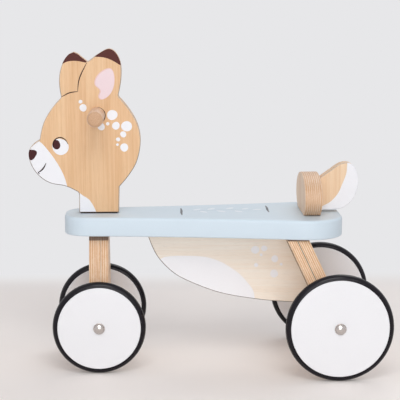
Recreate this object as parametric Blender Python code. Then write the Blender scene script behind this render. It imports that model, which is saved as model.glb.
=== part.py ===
"""A wooden ride-on fawn on four wheels, for a small child who sits astride and pushes with the feet.

A tapered seat plank stands on a slanted rear leg and on a turning front leg. The fawn's head plate
is pinned to the front leg through the plank and steers it. Metres, +Z up, floor at Z 0. The fawn
looks towards -X and its left side is -Y. Places are measured from the steering axis, and the empty
called walker then centres the whole length on the origin.
"""

import math

import bmesh
import bpy
from mathutils import Vector
from mathutils.geometry import interpolate_bezier

for thing in list(bpy.data.objects):
    bpy.data.objects.remove(thing, do_unlink=True)

# Wheels, tyres and axles
WHEELBASE = 0.330
FRONT_WHEEL_RADIUS = 0.065
REAR_WHEEL_RADIUS = 0.0745
FRONT_TRACK = 0.127
REAR_TRACK = 0.226
DISC_THICKNESS = 0.015
TYRE_BAND = 0.0071
TYRE_WIDTH = 0.0145
TYRE_SHOULDER = 0.0050
RIM_GROOVE_DEPTH = 0.0030
RIM_GROOVE_WIDTH = 0.0060
AXLE_RADIUS = 0.0040
HUB_BUSH_RADIUS = 0.0060
HUB_FLANGE_RADIUS = 0.0085
HUB_FLANGE_THICKNESS = 0.0015
WASHER_RADIUS = 0.0085
WASHER_THICKNESS = 0.0016
CAP_RADIUS = 0.0081
CAP_HEIGHT = 0.0050
CAP_SKIRT = 0.0008
AXLE_IN_CAP = 0.0032

# Seat plank: half widths at the steering axis, at its waist station and at its rear station
SEAT_HEIGHT = 0.217
SEAT_THICKNESS = 0.027
SEAT_NOSE = 0.049
SEAT_TAIL = 0.342
SEAT_FRONT_HALF = 0.0435
SEAT_WAIST_STATION = 0.150
SEAT_WAIST_HALF = 0.0585
SEAT_REAR_STATION = 0.276
SEAT_REAR_HALF = 0.0795
SEAT_NOSE_CORNER = 0.033
SEAT_TAIL_CORNER = 0.050
SEAT_TOP_ROUNDING = 0.0040
SEAT_UNDER_ROUNDING = 0.0020

# Plywood plates
PLATE_THICKNESS = 0.018
PLATE_EDGE_ROUNDING = 0.0014
NECK_FRONT = 0.0285
NECK_BACK = 0.0275

# Front leg, of two boards glued face to face
FRONT_LEG_FRONT_FACE = 0.0144
FRONT_LEG_FRONT_BOARD = 0.0165
FRONT_LEG_BACK_BOARD = 0.0105
FRONT_LEG_FOOT = 0.024
FRONT_LEG_SHOULDER = 0.030
FRONT_LEG_TOP_HALF = 0.028
LEG_FOOT_CORNER = 0.012
LEG_EDGE_ROUNDING = 0.0012
LEG_SEAM_ROUNDING = 0.0003

# Rear leg, of two boards glued face to face, slanting down and back to the axle
REAR_LEG_SLANT = math.radians(25.2)
REAR_LEG_FRONT_BOARD = 0.0120
REAR_LEG_BACK_BOARD = 0.0150
REAR_LEG_FOOT = 0.026
REAR_LEG_SHOULDER = 0.036
REAR_LEG_TOP_HALF = 0.0735

# Backrest and tail
BACKREST_FRONT = 0.287
BACKREST_THICKNESS = 0.024
BACKREST_HEIGHT = 0.056
BACKREST_HALF_WIDTH = 0.058
BACKREST_FOOT_HALF = 0.038
TAIL_LIFT = 0.0036

# Steering
STEERING_LIMIT = math.radians(40.0)
COLUMN_RADIUS = 0.0050
COLUMN_IN_NECK = 0.043
COLUMN_IN_LEG = 0.038
STEERING_BUSH_RADIUS = 0.0070
STEERING_BUSH_LENGTH = 0.0120
STEERING_FLANGE_RADIUS = 0.0090
STEERING_FLANGE_THICKNESS = 0.0012
CROSS_PIN_RADIUS = 0.0020
STOP_PEG_RADIUS = 0.0025
STOP_PEG_REACH = 0.018
STOP_PEG_IN_LEG = 0.012
STOP_PEG_IN_SEAT = 0.005
STOP_GROOVE_DEPTH = 0.006

# Handlebar
HANDLEBAR_RADIUS = 0.01125
HANDLEBAR_LENGTH = 0.140
HANDLEBAR_SETBACK = 0.0020
HANDLEBAR_HEIGHT = 0.1393
HANDLEBAR_END_ROUNDING = 0.0035

# Dowels and screws
DOWEL_RADIUS = 0.0040
DOWEL_LENGTH = 0.028
TAIL_DOWEL_RADIUS = 0.0030
TAIL_DOWEL_LENGTH = 0.024
TAIL_DOWEL_HEIGHTS = (0.013, 0.033)
LEG_DOWEL_SPACING = 0.048
BELLY_DOWEL_PLACES = (0.105, 0.205)
SCREW_RADIUS = 0.0022
SCREW_HEAD_RADIUS = 0.0044
SCREW_HEAD_DEPTH = 0.0026
BELLY_SCREW_LENGTH = 0.045
BELLY_SCREW_DROPS = (0.083, 0.030)
BACKREST_SCREW_LENGTH = 0.050
BACKREST_SCREW_SPACING = 0.044

# Clearances: between pieces that touch, between a shaft and its bush, and past a cut face
SEAT_GAP = 0.0003
RUNNING_GAP = 0.0001
CUT_PAST = 0.0020

# Fineness of curves
CURVE_STEP = 0.007
ARC_STEPS = 6
FRONT_WHEEL_STEPS = 36
REAR_WHEEL_STEPS = 40
ROUND_STEPS = 20
HUB_STEPS = 16
DOWEL_STEPS = 12

# The fawn's head seen from its left side, from the steering axis and above the foot of the neck.
# A third value marks a sharp corner.
CORNER = "corner"
HEAD_KNOTS = (
    (NECK_BACK, 0.0, CORNER),
    (0.0285, 0.0377, CORNER),
    (0.0423, 0.0543),
    (0.0534, 0.0733),
    (0.0590, 0.1020),
    (0.0550, 0.1258),
    (0.0439, 0.1465),
    (0.0281, 0.1659, CORNER),
    (0.0323, 0.1886),
    (0.0323, 0.2093),
    (0.0265, 0.2244),
    (0.0170, 0.2315),
    (0.0036, 0.2262),
    (-0.0141, 0.2135, CORNER),
    (-0.0232, 0.2207),
    (-0.0334, 0.2270),
    (-0.0445, 0.2192),
    (-0.0519, 0.2025),
    (-0.0538, 0.1843),
    (-0.0513, 0.1642, CORNER),
    (-0.0650, 0.1487),
    (-0.0765, 0.1290),
    (-0.0825, 0.1045, CORNER),
    (-0.0940, 0.0959),
    (-0.0984, 0.0857),
    (-0.0948, 0.0690),
    (-0.0845, 0.0538),
    (-0.0688, 0.0434),
    (-0.0469, 0.0388),
    (-NECK_FRONT, 0.0296, CORNER),
    (-NECK_FRONT, 0.0, CORNER),
)

# The belly's sagging lower edge, from the steering axis and below the plank, front to back
BELLY_FRONT = 0.0665
BELLY_KNOTS = (
    (0.0780, 0.0298),
    (0.0894, 0.0458),
    (0.1066, 0.0618),
    (0.1281, 0.0736),
    (0.1711, 0.0900),
    (0.2259, 0.1002),
    (0.2721, 0.1045),
)
BELLY_DEPTH = 0.1055

# The tail's leaf outline, behind the backrest and above its own foot
TAIL_KNOTS = (
    (0.0000, 0.0000, CORNER),
    (0.0275, 0.0005),
    (0.0395, 0.0048),
    (0.0500, 0.0165),
    (0.0563, 0.0330),
    (0.0563, 0.0450),
    (0.0537, 0.0555),
    (0.0480, 0.0640),
    (0.0405, 0.0672),
    (0.0300, 0.0652),
    (0.0180, 0.0570),
    (0.0040, 0.0470),
    (0.0000, 0.0430, CORNER),
)

# Places that follow from the sizes above
SEAT_UNDERSIDE = SEAT_HEIGHT - SEAT_THICKNESS
SEAT_REST = SEAT_HEIGHT + SEAT_GAP
NECK_FOOT = SEAT_REST
FRONT_LEG_TOP = SEAT_UNDERSIDE - SEAT_GAP - STEERING_FLANGE_THICKNESS - SEAT_GAP
WHEEL_TO_LEG = HUB_FLANGE_THICKNESS + SEAT_GAP + WASHER_THICKNESS + SEAT_GAP
CAP_BORE_RADIUS = AXLE_RADIUS + RUNNING_GAP
CAP_BORE_DEPTH = AXLE_IN_CAP + SEAT_GAP

# Colour, roughness and metallic value of each finish
FINISHES = {
    "birch": ((0.72, 0.48, 0.26), 0.55, 0.0),
    "beech": ((0.62, 0.38, 0.22), 0.55, 0.0),
    "pale_blue_paint": ((0.55, 0.68, 0.74), 0.40, 0.0),
    "white_paint": ((0.85, 0.85, 0.86), 0.40, 0.0),
    "black_rubber": ((0.020, 0.019, 0.022), 0.55, 0.0),
    "steel": ((0.60, 0.58, 0.56), 0.28, 1.0),
    "zinc": ((0.55, 0.56, 0.58), 0.40, 1.0),
    "nylon": ((0.80, 0.79, 0.75), 0.50, 0.0),
}


def finish(piece_name, kind):
    """A Principled material of the piece's own."""
    colour, roughness, metallic = FINISHES[kind]
    material = bpy.data.materials.new(piece_name + "_" + kind)
    material.use_nodes = True
    shader = material.node_tree.nodes["Principled BSDF"]
    shader.inputs["Base Color"].default_value = (*colour, 1.0)
    shader.inputs["Roughness"].default_value = roughness
    shader.inputs["Metallic"].default_value = metallic
    return material


def empty_at(name, location, parent=None, rotation=(0.0, 0.0, 0.0)):
    """An empty that other pieces are placed from."""
    empty = bpy.data.objects.new(name, None)
    empty.location = location
    empty.rotation_euler = rotation
    empty.parent = parent
    bpy.context.collection.objects.link(empty)
    return empty


def piece(name, mesh_builder, kind, parent, location=(0.0, 0.0, 0.0), along=None, smooth=False):
    """A named object from a bmesh. Its local Z turns to the direction called along."""
    bmesh.ops.recalc_face_normals(mesh_builder, faces=mesh_builder.faces)
    mesh = bpy.data.meshes.new(name)
    mesh_builder.to_mesh(mesh)
    mesh_builder.free()
    thing = bpy.data.objects.new(name, mesh)
    if kind is not None:
        mesh.materials.append(finish(name, kind))
    if smooth:
        mesh.shade_smooth()
        mesh.set_sharp_from_angle(angle=math.radians(35.0))
    thing.location = location
    if along is not None:
        thing.rotation_euler = Vector(along).to_track_quat("Z", "Y").to_euler()
    thing.parent = parent
    bpy.context.collection.objects.link(thing)
    return thing


def smooth_outline(knots):
    """A closed outline through the knots, smooth everywhere but at the corners."""
    count = len(knots)
    spots = [Vector((knot[0], knot[1], 0.0)) for knot in knots]
    sharp = [len(knot) > 2 for knot in knots]
    outline = []
    for i in range(count):
        here, there = spots[i], spots[(i + 1) % count]
        chord = (there - here).length
        if sharp[i] and sharp[(i + 1) % count]:
            outline.append(here)
            continue
        leave = (there - spots[i - 1]).normalized() * chord / 3.0
        reach = (spots[(i + 2) % count] - here).normalized() * chord / 3.0
        if sharp[i]:
            leave = (there - reach - here) * 0.5
        if sharp[(i + 1) % count]:
            reach = (there - here - leave) * 0.5
        steps = max(2, math.ceil(chord / CURVE_STEP))
        outline += interpolate_bezier(here, here + leave, there - reach, there, steps + 1)[:-1]
    return [(spot.x, spot.y) for spot in outline]


def arc(centre_a, centre_b, radius, start, end, steps=ARC_STEPS):
    """Points of an arc, its angles in degrees."""
    angles = [math.radians(start + (end - start) * i / steps) for i in range(steps + 1)]
    return [(centre_a + radius * math.cos(t), centre_b + radius * math.sin(t)) for t in angles]


def slab(outline, low, high, plane):
    """The outline extruded from low to high across its plane, which is XY, XZ or YZ."""
    place = {
        "XY": lambda a, b: (a, b, low),
        "XZ": lambda a, b: (a, low, b),
        "YZ": lambda a, b: (low, a, b),
    }[plane]
    across = {"XY": (0.0, 0.0, 1.0), "XZ": (0.0, 1.0, 0.0), "YZ": (1.0, 0.0, 0.0)}[plane]
    builder = bmesh.new()
    face = builder.faces.new([builder.verts.new(place(a, b)) for a, b in outline])
    grown = bmesh.ops.extrude_face_region(builder, geom=[face])
    raised = [part for part in grown["geom"] if isinstance(part, bmesh.types.BMVert)]
    bmesh.ops.translate(builder, verts=raised, vec=Vector(across) * (high - low))
    return builder


def turned(profile, steps, hollow):
    """A profile of (radius, height) spun about local Z. Radii are measured to the flats, and one
    flat faces straight down once the axis lies level. A hollow profile is a closed loop."""
    stretch = 1.0 / math.cos(math.pi / steps)
    turn = math.pi / steps
    builder = bmesh.new()
    ring = [
        builder.verts.new((r * stretch * math.cos(turn), r * stretch * math.sin(turn), h))
        for r, h in profile
    ]
    pairs = list(zip(ring, ring[1:]))
    if hollow:
        pairs.append((ring[-1], ring[0]))
    edges = [builder.edges.new(pair) for pair in pairs]
    bmesh.ops.spin(
        builder, geom=ring + edges, cent=(0, 0, 0), axis=(0, 0, 1), angle=math.tau, steps=steps,
        use_merge=True,
    )
    bmesh.ops.remove_doubles(builder, verts=builder.verts, dist=0.000001)
    return builder


def rod_profile(radius, low, high, rounding=0.0):
    """A solid rod from low to high, with its end edges rounded off."""
    if rounding == 0.0:
        return [(0.0, low), (radius, low), (radius, high), (0.0, high)]
    inner = radius - rounding
    foot = [(inner + r, low + rounding + h) for r, h in arc(0, 0, rounding, -90, 0, 3)]
    head = [(inner + r, high - rounding + h) for r, h in arc(0, 0, rounding, 0, 90, 3)]
    return [(0.0, low)] + foot + head + [(0.0, high)]


def sleeve_profile(inner, outer, low, high, flange_radius=None, flange=0.0):
    """A tube from low to high, with a flange below low where one is given."""
    if flange_radius is None:
        return [(inner, low), (outer, low), (outer, high), (inner, high)]
    return [
        (inner, low - flange), (flange_radius, low - flange), (flange_radius, low),
        (outer, low), (outer, high), (inner, high),
    ]


def screw_profile(length, gap=0.0):
    """A countersunk screw, its tip at -length and its flat head at 0, grown by a gap."""
    shank, head = SCREW_RADIUS + gap, SCREW_HEAD_RADIUS + gap
    return [
        (0.0, -length - gap), (shank, -length - gap), (shank, -SCREW_HEAD_DEPTH - gap),
        (head, 0.0), (0.0, 0.0),
    ]


def round_edges(thing, width):
    """Rounds every edge where two faces meet at a clear angle."""
    bevel = thing.modifiers.new("edge_rounding", "BEVEL")
    bevel.width = width
    bevel.segments = 1
    bevel.limit_method = "ANGLE"
    bevel.angle_limit = math.radians(50.0)


def mark_rim(builder, axis, place, share):
    """Gives the edges in the plane at place along the axis (0 for X, 2 for Z) a share of the rounding."""
    layers = builder.edges.layers.float
    weight = layers.get("bevel_weight_edge") or layers.new("bevel_weight_edge")
    for edge in builder.edges:
        if all(abs(vert.co[axis] - place) < SEAT_GAP / 2.0 for vert in edge.verts):
            edge[weight] = share


def round_rims(thing, width, segments):
    """Rounds the marked edges, each by its share of the width."""
    bevel = thing.modifiers.new("rim_rounding", "BEVEL")
    bevel.width = width
    bevel.segments = segments
    bevel.limit_method = "WEIGHT"


def cut(things, cutter):
    """Cuts the cutter's shape out of each thing, and keeps the cutter itself out of the model."""
    cutter.hide_render = True
    cutter.display_type = "WIRE"
    for thing in things:
        boolean = thing.modifiers.new(cutter.name, "BOOLEAN")
        boolean.operation = "DIFFERENCE"
        boolean.solver = "EXACT"
        boolean.object = cutter


def drill(things, name, radius, start, along, length, parent, steps=ROUND_STEPS):
    """A round hole from the point start in the direction along."""
    rod = turned(rod_profile(radius, 0.0, length), steps, hollow=False)
    cut(things, piece(name, rod, None, parent, start, along))


rear_reach = WHEELBASE + REAR_WHEEL_RADIUS
head_outline = smooth_outline(HEAD_KNOTS)
nose_reach = -min(a for a, b in head_outline)
walker = empty_at("walker", ((nose_reach - rear_reach) / 2.0, 0.0, 0.0))
steering = empty_at("steering_axis", (0.0, 0.0, 0.0), walker)
rear_slope = empty_at(
    "rear_leg_slope", (WHEELBASE, 0.0, REAR_WHEEL_RADIUS), walker, (0.0, -REAR_LEG_SLANT, 0.0)
)
REAR_LEG_THICKNESS = REAR_LEG_FRONT_BOARD + SEAT_GAP + REAR_LEG_BACK_BOARD


def seat_half_width(x):
    """Half the plank's width at x: the one parabola through its three stations."""
    stations = (
        (0.0, SEAT_FRONT_HALF),
        (SEAT_WAIST_STATION, SEAT_WAIST_HALF),
        (SEAT_REAR_STATION, SEAT_REAR_HALF),
    )
    total = 0.0
    for i, (at, half) in enumerate(stations):
        weight = 1.0
        for j, (other, _) in enumerate(stations):
            if j != i:
                weight *= (x - other) / (at - other)
        total += half * weight
    return total


def seat_corner(end_x, radius, facing):
    """The arc that joins an end of the plank to its +Y side and touches both."""
    centre_x = end_x - facing * radius
    slope = math.atan((seat_half_width(centre_x + 0.001) - seat_half_width(centre_x - 0.001)) / 0.002)
    centre_y = seat_half_width(centre_x) - radius / math.cos(slope)
    side = 90.0 + math.degrees(slope)
    end = 0.0 if facing > 0 else 180.0
    return arc(centre_x, centre_y, radius, end, side)


def seat_outline():
    """The plank from above: rounded nose and tail, and sides that flare towards the tail."""
    tail = seat_corner(SEAT_TAIL, SEAT_TAIL_CORNER, 1)
    nose = seat_corner(-SEAT_NOSE, SEAT_NOSE_CORNER, -1)
    run = tail[-1][0] - nose[-1][0]
    steps = math.ceil(run / (CURVE_STEP * 4.0))
    side = [tail[-1][0] - run * i / steps for i in range(1, steps)]
    half = tail + [(x, seat_half_width(x)) for x in side] + nose[::-1]
    return half + [(x, -y) for x, y in reversed(half)]


def make_seat_plank():
    """The plank, with a softly rounded top edge and a smaller rounding below."""
    builder = slab(seat_outline(), SEAT_UNDERSIDE, SEAT_HEIGHT, "XY")
    mark_rim(builder, 2, SEAT_HEIGHT, 1.0)
    mark_rim(builder, 2, SEAT_UNDERSIDE, SEAT_UNDER_ROUNDING / SEAT_TOP_ROUNDING)
    plank = piece("seat_plank", builder, "pale_blue_paint", walker)
    round_rims(plank, SEAT_TOP_ROUNDING, 3)
    return plank


def leg_outline(foot, shoulder, top, foot_half, top_half, corner):
    """A leg board from the front: upright beside the wheels, then drawn in towards its top."""
    right = arc(foot_half - corner, foot + corner, corner, -90, 0, 4)
    right += [(foot_half, shoulder), (top_half, top)]
    return right + [(-a, b) for a, b in reversed(right)]


def leg_board(name, outline, outer, seam, top_slope, parent):
    """One board of a leg, from its outer face to the glued seam, its top cut level if it slants."""
    builder = slab(outline, min(outer, seam), max(outer, seam), "YZ")
    mark_rim(builder, 0, outer, 1.0)
    mark_rim(builder, 0, seam, LEG_SEAM_ROUNDING / LEG_EDGE_ROUNDING)
    top = max(height for _, height in outline)
    for vert in builder.verts:
        if vert.co.z > top - SEAT_GAP:
            vert.co.z = top - vert.co.x * math.tan(top_slope)
    board = piece(name, builder, "birch", parent)
    round_rims(board, LEG_EDGE_ROUNDING, 1)
    return board


def make_front_leg():
    """Two glued boards across the front axle, which turn with the head."""
    foot_half = FRONT_TRACK / 2.0 - DISC_THICKNESS / 2.0 - WHEEL_TO_LEG
    outline = leg_outline(
        FRONT_WHEEL_RADIUS - FRONT_LEG_FOOT, FRONT_WHEEL_RADIUS + FRONT_LEG_SHOULDER,
        FRONT_LEG_TOP, foot_half, FRONT_LEG_TOP_HALF, LEG_FOOT_CORNER,
    )
    seam = FRONT_LEG_FRONT_BOARD - FRONT_LEG_FRONT_FACE
    behind = seam + SEAT_GAP
    return [
        leg_board("front_leg_front_board", outline, -FRONT_LEG_FRONT_FACE, seam, 0.0, steering),
        leg_board("front_leg_back_board", outline, behind + FRONT_LEG_BACK_BOARD, behind, 0.0,
                  steering),
    ]


def make_rear_leg():
    """Two glued boards across the rear axle, in the sloping frame, their top cut level."""
    foot_half = REAR_TRACK / 2.0 - DISC_THICKNESS / 2.0 - WHEEL_TO_LEG
    rise = SEAT_UNDERSIDE - SEAT_GAP - REAR_WHEEL_RADIUS
    middle_top = rise / math.cos(REAR_LEG_SLANT)
    outline = leg_outline(
        -REAR_LEG_FOOT, REAR_LEG_SHOULDER, middle_top, foot_half, REAR_LEG_TOP_HALF,
        LEG_FOOT_CORNER,
    )
    front = -REAR_LEG_THICKNESS / 2.0
    seam = front + REAR_LEG_FRONT_BOARD
    return [
        leg_board("rear_leg_front_board", outline, front, seam, REAR_LEG_SLANT, rear_slope),
        leg_board("rear_leg_back_board", outline, front + REAR_LEG_THICKNESS, seam + SEAT_GAP,
                  REAR_LEG_SLANT, rear_slope),
    ]


def rear_leg_front_x(height):
    """Where the rear leg's front face stands at a height above the floor."""
    lean = (height - REAR_WHEEL_RADIUS) * math.tan(REAR_LEG_SLANT)
    return WHEELBASE - lean - REAR_LEG_THICKNESS / 2.0 / math.cos(REAR_LEG_SLANT)


def make_belly():
    """The belly plate: straight along the plank, sagging below, cut to the rear leg's slope."""
    top = SEAT_UNDERSIDE - SEAT_GAP
    low = SEAT_UNDERSIDE - BELLY_DEPTH
    behind = SEAT_GAP / math.cos(REAR_LEG_SLANT)
    knots = [(rear_leg_front_x(top) - behind, top, CORNER), (BELLY_FRONT, top, CORNER)]
    knots += [(x, SEAT_UNDERSIDE - drop) for x, drop in BELLY_KNOTS]
    knots.append((rear_leg_front_x(low) - behind, low, CORNER))
    outline = smooth_outline(knots)
    half = PLATE_THICKNESS / 2.0
    belly = piece("belly_plate", slab(outline, -half, half, "XZ"), "birch", walker)
    round_edges(belly, PLATE_EDGE_ROUNDING)
    return belly


def make_head():
    """The fawn's head and neck, one plate that stands on the upper steering bush."""
    half = PLATE_THICKNESS / 2.0
    head = piece("head_plate", slab(head_outline, -half, half, "XZ"), "birch", steering,
                 (0.0, 0.0, NECK_FOOT))
    round_edges(head, PLATE_EDGE_ROUNDING)
    return head


def make_backrest():
    """A low rounded panel across the plank: an ellipse cut off flat at its foot."""
    foot_share = BACKREST_FOOT_HALF / BACKREST_HALF_WIDTH
    cut_share = math.sqrt(1.0 - foot_share * foot_share)
    half_height = (BACKREST_HEIGHT - SEAT_GAP) / (1.0 + cut_share)
    middle = SEAT_REST + cut_share * half_height
    start = -math.asin(cut_share)
    sweep = math.pi - 2.0 * start
    steps = 4 * ARC_STEPS
    outline = []
    for i in range(steps + 1):
        angle = start + sweep * i / steps
        outline.append((
            BACKREST_HALF_WIDTH * math.cos(angle), middle + half_height * math.sin(angle)
        ))
    builder = slab(outline, BACKREST_FRONT, BACKREST_FRONT + BACKREST_THICKNESS, "YZ")
    backrest = piece("backrest", builder, "birch", walker)
    round_edges(backrest, PLATE_EDGE_ROUNDING)
    return backrest


def make_tail():
    """A leaf-shaped tail, dowelled to the back of the backrest just clear of the plank."""
    half = PLATE_THICKNESS / 2.0
    root = (BACKREST_FRONT + BACKREST_THICKNESS + SEAT_GAP, 0.0, SEAT_HEIGHT + TAIL_LIFT)
    tail = piece("tail_plate", slab(smooth_outline(TAIL_KNOTS), -half, half, "XZ"), "birch", walker,
                 root)
    round_edges(tail, PLATE_EDGE_ROUNDING)
    return tail


def dowel(name, things, middle, along, radius, length):
    """A beech dowel half in each of two things, and the hole for it."""
    direction = Vector(along)
    rod = turned(rod_profile(radius, -length / 2.0, length / 2.0), DOWEL_STEPS, hollow=False)
    piece(name, rod, "beech", walker, middle, along, smooth=True)
    deep = length + 2.0 * SEAT_GAP
    start = Vector(middle) - direction * deep / 2.0
    drill(things, name + "_hole", radius + SEAT_GAP, start, along, deep, walker, DOWEL_STEPS)


def wood_screw(name, things, head, along, length, parent):
    """A countersunk screw driven from the point head against the direction along."""
    shape = turned(screw_profile(length), DOWEL_STEPS, hollow=False)
    piece(name, shape, "zinc", parent, head, along, smooth=True)
    profile = screw_profile(length, SEAT_GAP)
    mouth = [(SCREW_HEAD_RADIUS + SEAT_GAP, CUT_PAST), (0.0, CUT_PAST)]
    hole = turned(profile[:-1] + mouth, DOWEL_STEPS, hollow=False)
    cut(things, piece(name + "_hole", hole, None, parent, head, along))


def make_wheel(corner, parent, centre, radius, outward, steps):
    """One wheel: painted disc, rubber tyre keyed into its rim groove, and flanged hub bush."""
    half = DISC_THICKNESS / 2.0
    rim = radius - TYRE_BAND
    groove = rim - RIM_GROOVE_DEPTH
    key = RIM_GROOVE_WIDTH / 2.0
    bore = HUB_BUSH_RADIUS + SEAT_GAP
    disc = [
        (bore, -half), (rim, -half), (rim, -key), (groove, -key),
        (groove, key), (rim, key), (rim, half), (bore, half),
    ]
    piece(corner + "_wheel_disc", turned(disc, steps, hollow=True), "white_paint", parent, centre,
          outward, smooth=True)
    side = TYRE_WIDTH / 2.0
    seat = rim + SEAT_GAP
    rib = key - SEAT_GAP
    crown, shoulder = radius - TYRE_SHOULDER, side - TYRE_SHOULDER
    outer = arc(crown, shoulder, TYRE_SHOULDER, 90, 0, 2)
    half_tyre = [(groove + SEAT_GAP, rib), (seat, rib), (seat, side)] + outer
    tyre = half_tyre + [(r, -h) for r, h in reversed(half_tyre)]
    piece(corner + "_tyre", turned(tyre, steps, hollow=True), "black_rubber", parent, centre,
          outward, smooth=True)
    bush = sleeve_profile(
        AXLE_RADIUS + RUNNING_GAP, HUB_BUSH_RADIUS, -half - SEAT_GAP, half - SEAT_GAP,
        HUB_FLANGE_RADIUS, HUB_FLANGE_THICKNESS - SEAT_GAP,
    )
    piece(corner + "_hub_bush", turned(bush, HUB_STEPS, hollow=True), "nylon", parent, centre,
          outward, smooth=True)


def make_axle(end, parent, x, height, track, steps, radius):
    """A steel axle with a wheel, a washer and a push-on cap at each end."""
    outer_face = track / 2.0 + DISC_THICKNESS / 2.0
    cap_foot = outer_face + SEAT_GAP
    axle_half = cap_foot + AXLE_IN_CAP
    rod = turned(rod_profile(AXLE_RADIUS, -axle_half, axle_half), ROUND_STEPS, hollow=False)
    piece(end + "_axle", rod, "steel", parent, (x, 0.0, height), (0, 1, 0), smooth=True)
    washer = sleeve_profile(AXLE_RADIUS + SEAT_GAP, WASHER_RADIUS, 0.0, WASHER_THICKNESS)
    dome = [
        (CAP_RADIUS * math.cos(t), CAP_SKIRT + (CAP_HEIGHT - CAP_SKIRT) * math.sin(t))
        for t in (math.radians(22.5 * i) for i in range(4))
    ]
    cap = [(0.0, CAP_BORE_DEPTH), (CAP_BORE_RADIUS, CAP_BORE_DEPTH), (CAP_BORE_RADIUS, 0.0),
           (CAP_RADIUS, 0.0)] + dome + [(0.0, CAP_HEIGHT)]
    washer_place = track / 2.0 - DISC_THICKNESS / 2.0 - WHEEL_TO_LEG + SEAT_GAP
    for side, sign in (("left", -1), ("right", 1)):
        corner = end + "_" + side
        outward = (0, sign, 0)
        make_wheel(corner, parent, (x, sign * track / 2.0, height), radius, outward, steps)
        piece(corner + "_washer", turned(washer, HUB_STEPS, hollow=True), "zinc", parent,
              (x, sign * washer_place, height), outward, smooth=True)
        piece(corner + "_axle_cap", turned(cap, HUB_STEPS, hollow=False), "steel", parent,
              (x, sign * cap_foot, height), outward, smooth=True)


def stop_groove():
    """The curved groove under the plank that the stop peg travels in, seen from below."""
    half = STOP_PEG_RADIUS + SEAT_GAP
    limit = math.degrees(STEERING_LIMIT)
    first, last = 90.0 - limit, 90.0 + limit
    ends = [
        (STOP_PEG_REACH * math.cos(math.radians(t)), STOP_PEG_REACH * math.sin(math.radians(t)))
        for t in (first, last)
    ]
    outline = arc(0, 0, STOP_PEG_REACH + half, first, last, 2 * ARC_STEPS)
    outline += arc(*ends[1], half, last, last + 180.0)[1:-1]
    outline += arc(0, 0, STOP_PEG_REACH - half, last, first, 2 * ARC_STEPS)
    outline += arc(*ends[0], half, first + 180.0, first + 360.0)[1:-1]
    return outline


def make_steering(seat, head, leg_boards):
    """The column through the plank, its two bushes, its cross pins and the stop peg."""
    top, bottom = NECK_FOOT + COLUMN_IN_NECK, FRONT_LEG_TOP - COLUMN_IN_LEG
    rod = turned(rod_profile(COLUMN_RADIUS, bottom, top), ROUND_STEPS, hollow=False)
    column = piece("steering_column", rod, "steel", steering, smooth=True)
    length = top - bottom + 2.0 * SEAT_GAP
    drill([head] + leg_boards, "column_bore", COLUMN_RADIUS + SEAT_GAP,
          (0.0, 0.0, bottom - SEAT_GAP), (0, 0, 1), length, steering)

    drill([seat], "bush_bore", STEERING_BUSH_RADIUS + SEAT_GAP,
          (0.0, 0.0, SEAT_UNDERSIDE - CUT_PAST), (0, 0, 1), SEAT_THICKNESS + 2.0 * CUT_PAST, walker)
    bush = sleeve_profile(
        COLUMN_RADIUS + RUNNING_GAP, STEERING_BUSH_RADIUS, -SEAT_GAP, STEERING_BUSH_LENGTH,
        STEERING_FLANGE_RADIUS, STEERING_FLANGE_THICKNESS,
    )
    recess_floor = SEAT_HEIGHT - STEERING_FLANGE_THICKNESS - SEAT_GAP
    drill([seat], "upper_flange_recess", STEERING_FLANGE_RADIUS + SEAT_GAP,
          (0.0, 0.0, recess_floor), (0, 0, 1), STEERING_FLANGE_THICKNESS + CUT_PAST, walker)
    for name, height, inward in (
        ("steering_bush_upper", recess_floor, (0, 0, -1)),
        ("steering_bush_lower", SEAT_UNDERSIDE, (0, 0, 1)),
    ):
        piece(name, turned(bush, ROUND_STEPS, hollow=True), "nylon", walker, (0.0, 0.0, height),
              inward, smooth=True)

    for name, things, front, height in (
        ("neck_pin", [head], NECK_FRONT, NECK_FOOT + COLUMN_IN_NECK / 2.0),
        ("leg_pin", leg_boards, FRONT_LEG_FRONT_FACE, FRONT_LEG_TOP - COLUMN_IN_LEG / 2.0),
    ):
        end = 2.0 * COLUMN_RADIUS
        pin = turned(rod_profile(CROSS_PIN_RADIUS, -end, front), DOWEL_STEPS, hollow=False)
        piece(name, pin, "zinc", steering, (0.0, 0.0, height), (-1, 0, 0), smooth=True)
        drill(things + [column], name + "_hole", CROSS_PIN_RADIUS + SEAT_GAP,
              (end + SEAT_GAP, 0.0, height), (-1, 0, 0), end + SEAT_GAP + front + CUT_PAST,
              steering, DOWEL_STEPS)

    peg_foot, peg_top = FRONT_LEG_TOP - STOP_PEG_IN_LEG, SEAT_UNDERSIDE + STOP_PEG_IN_SEAT
    peg = turned(rod_profile(STOP_PEG_RADIUS, peg_foot, peg_top), DOWEL_STEPS, hollow=False)
    piece("stop_peg", peg, "zinc", steering, (0.0, STOP_PEG_REACH, 0.0), smooth=True)
    drill(leg_boards, "stop_peg_hole", STOP_PEG_RADIUS + SEAT_GAP,
          (0.0, STOP_PEG_REACH, peg_foot - SEAT_GAP), (0, 0, 1), STOP_PEG_IN_LEG + CUT_PAST,
          steering, DOWEL_STEPS)
    groove = slab(stop_groove(), SEAT_UNDERSIDE - CUT_PAST, SEAT_UNDERSIDE + STOP_GROOVE_DEPTH, "XY")
    cut([seat], piece("stop_groove", groove, None, walker))


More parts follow.
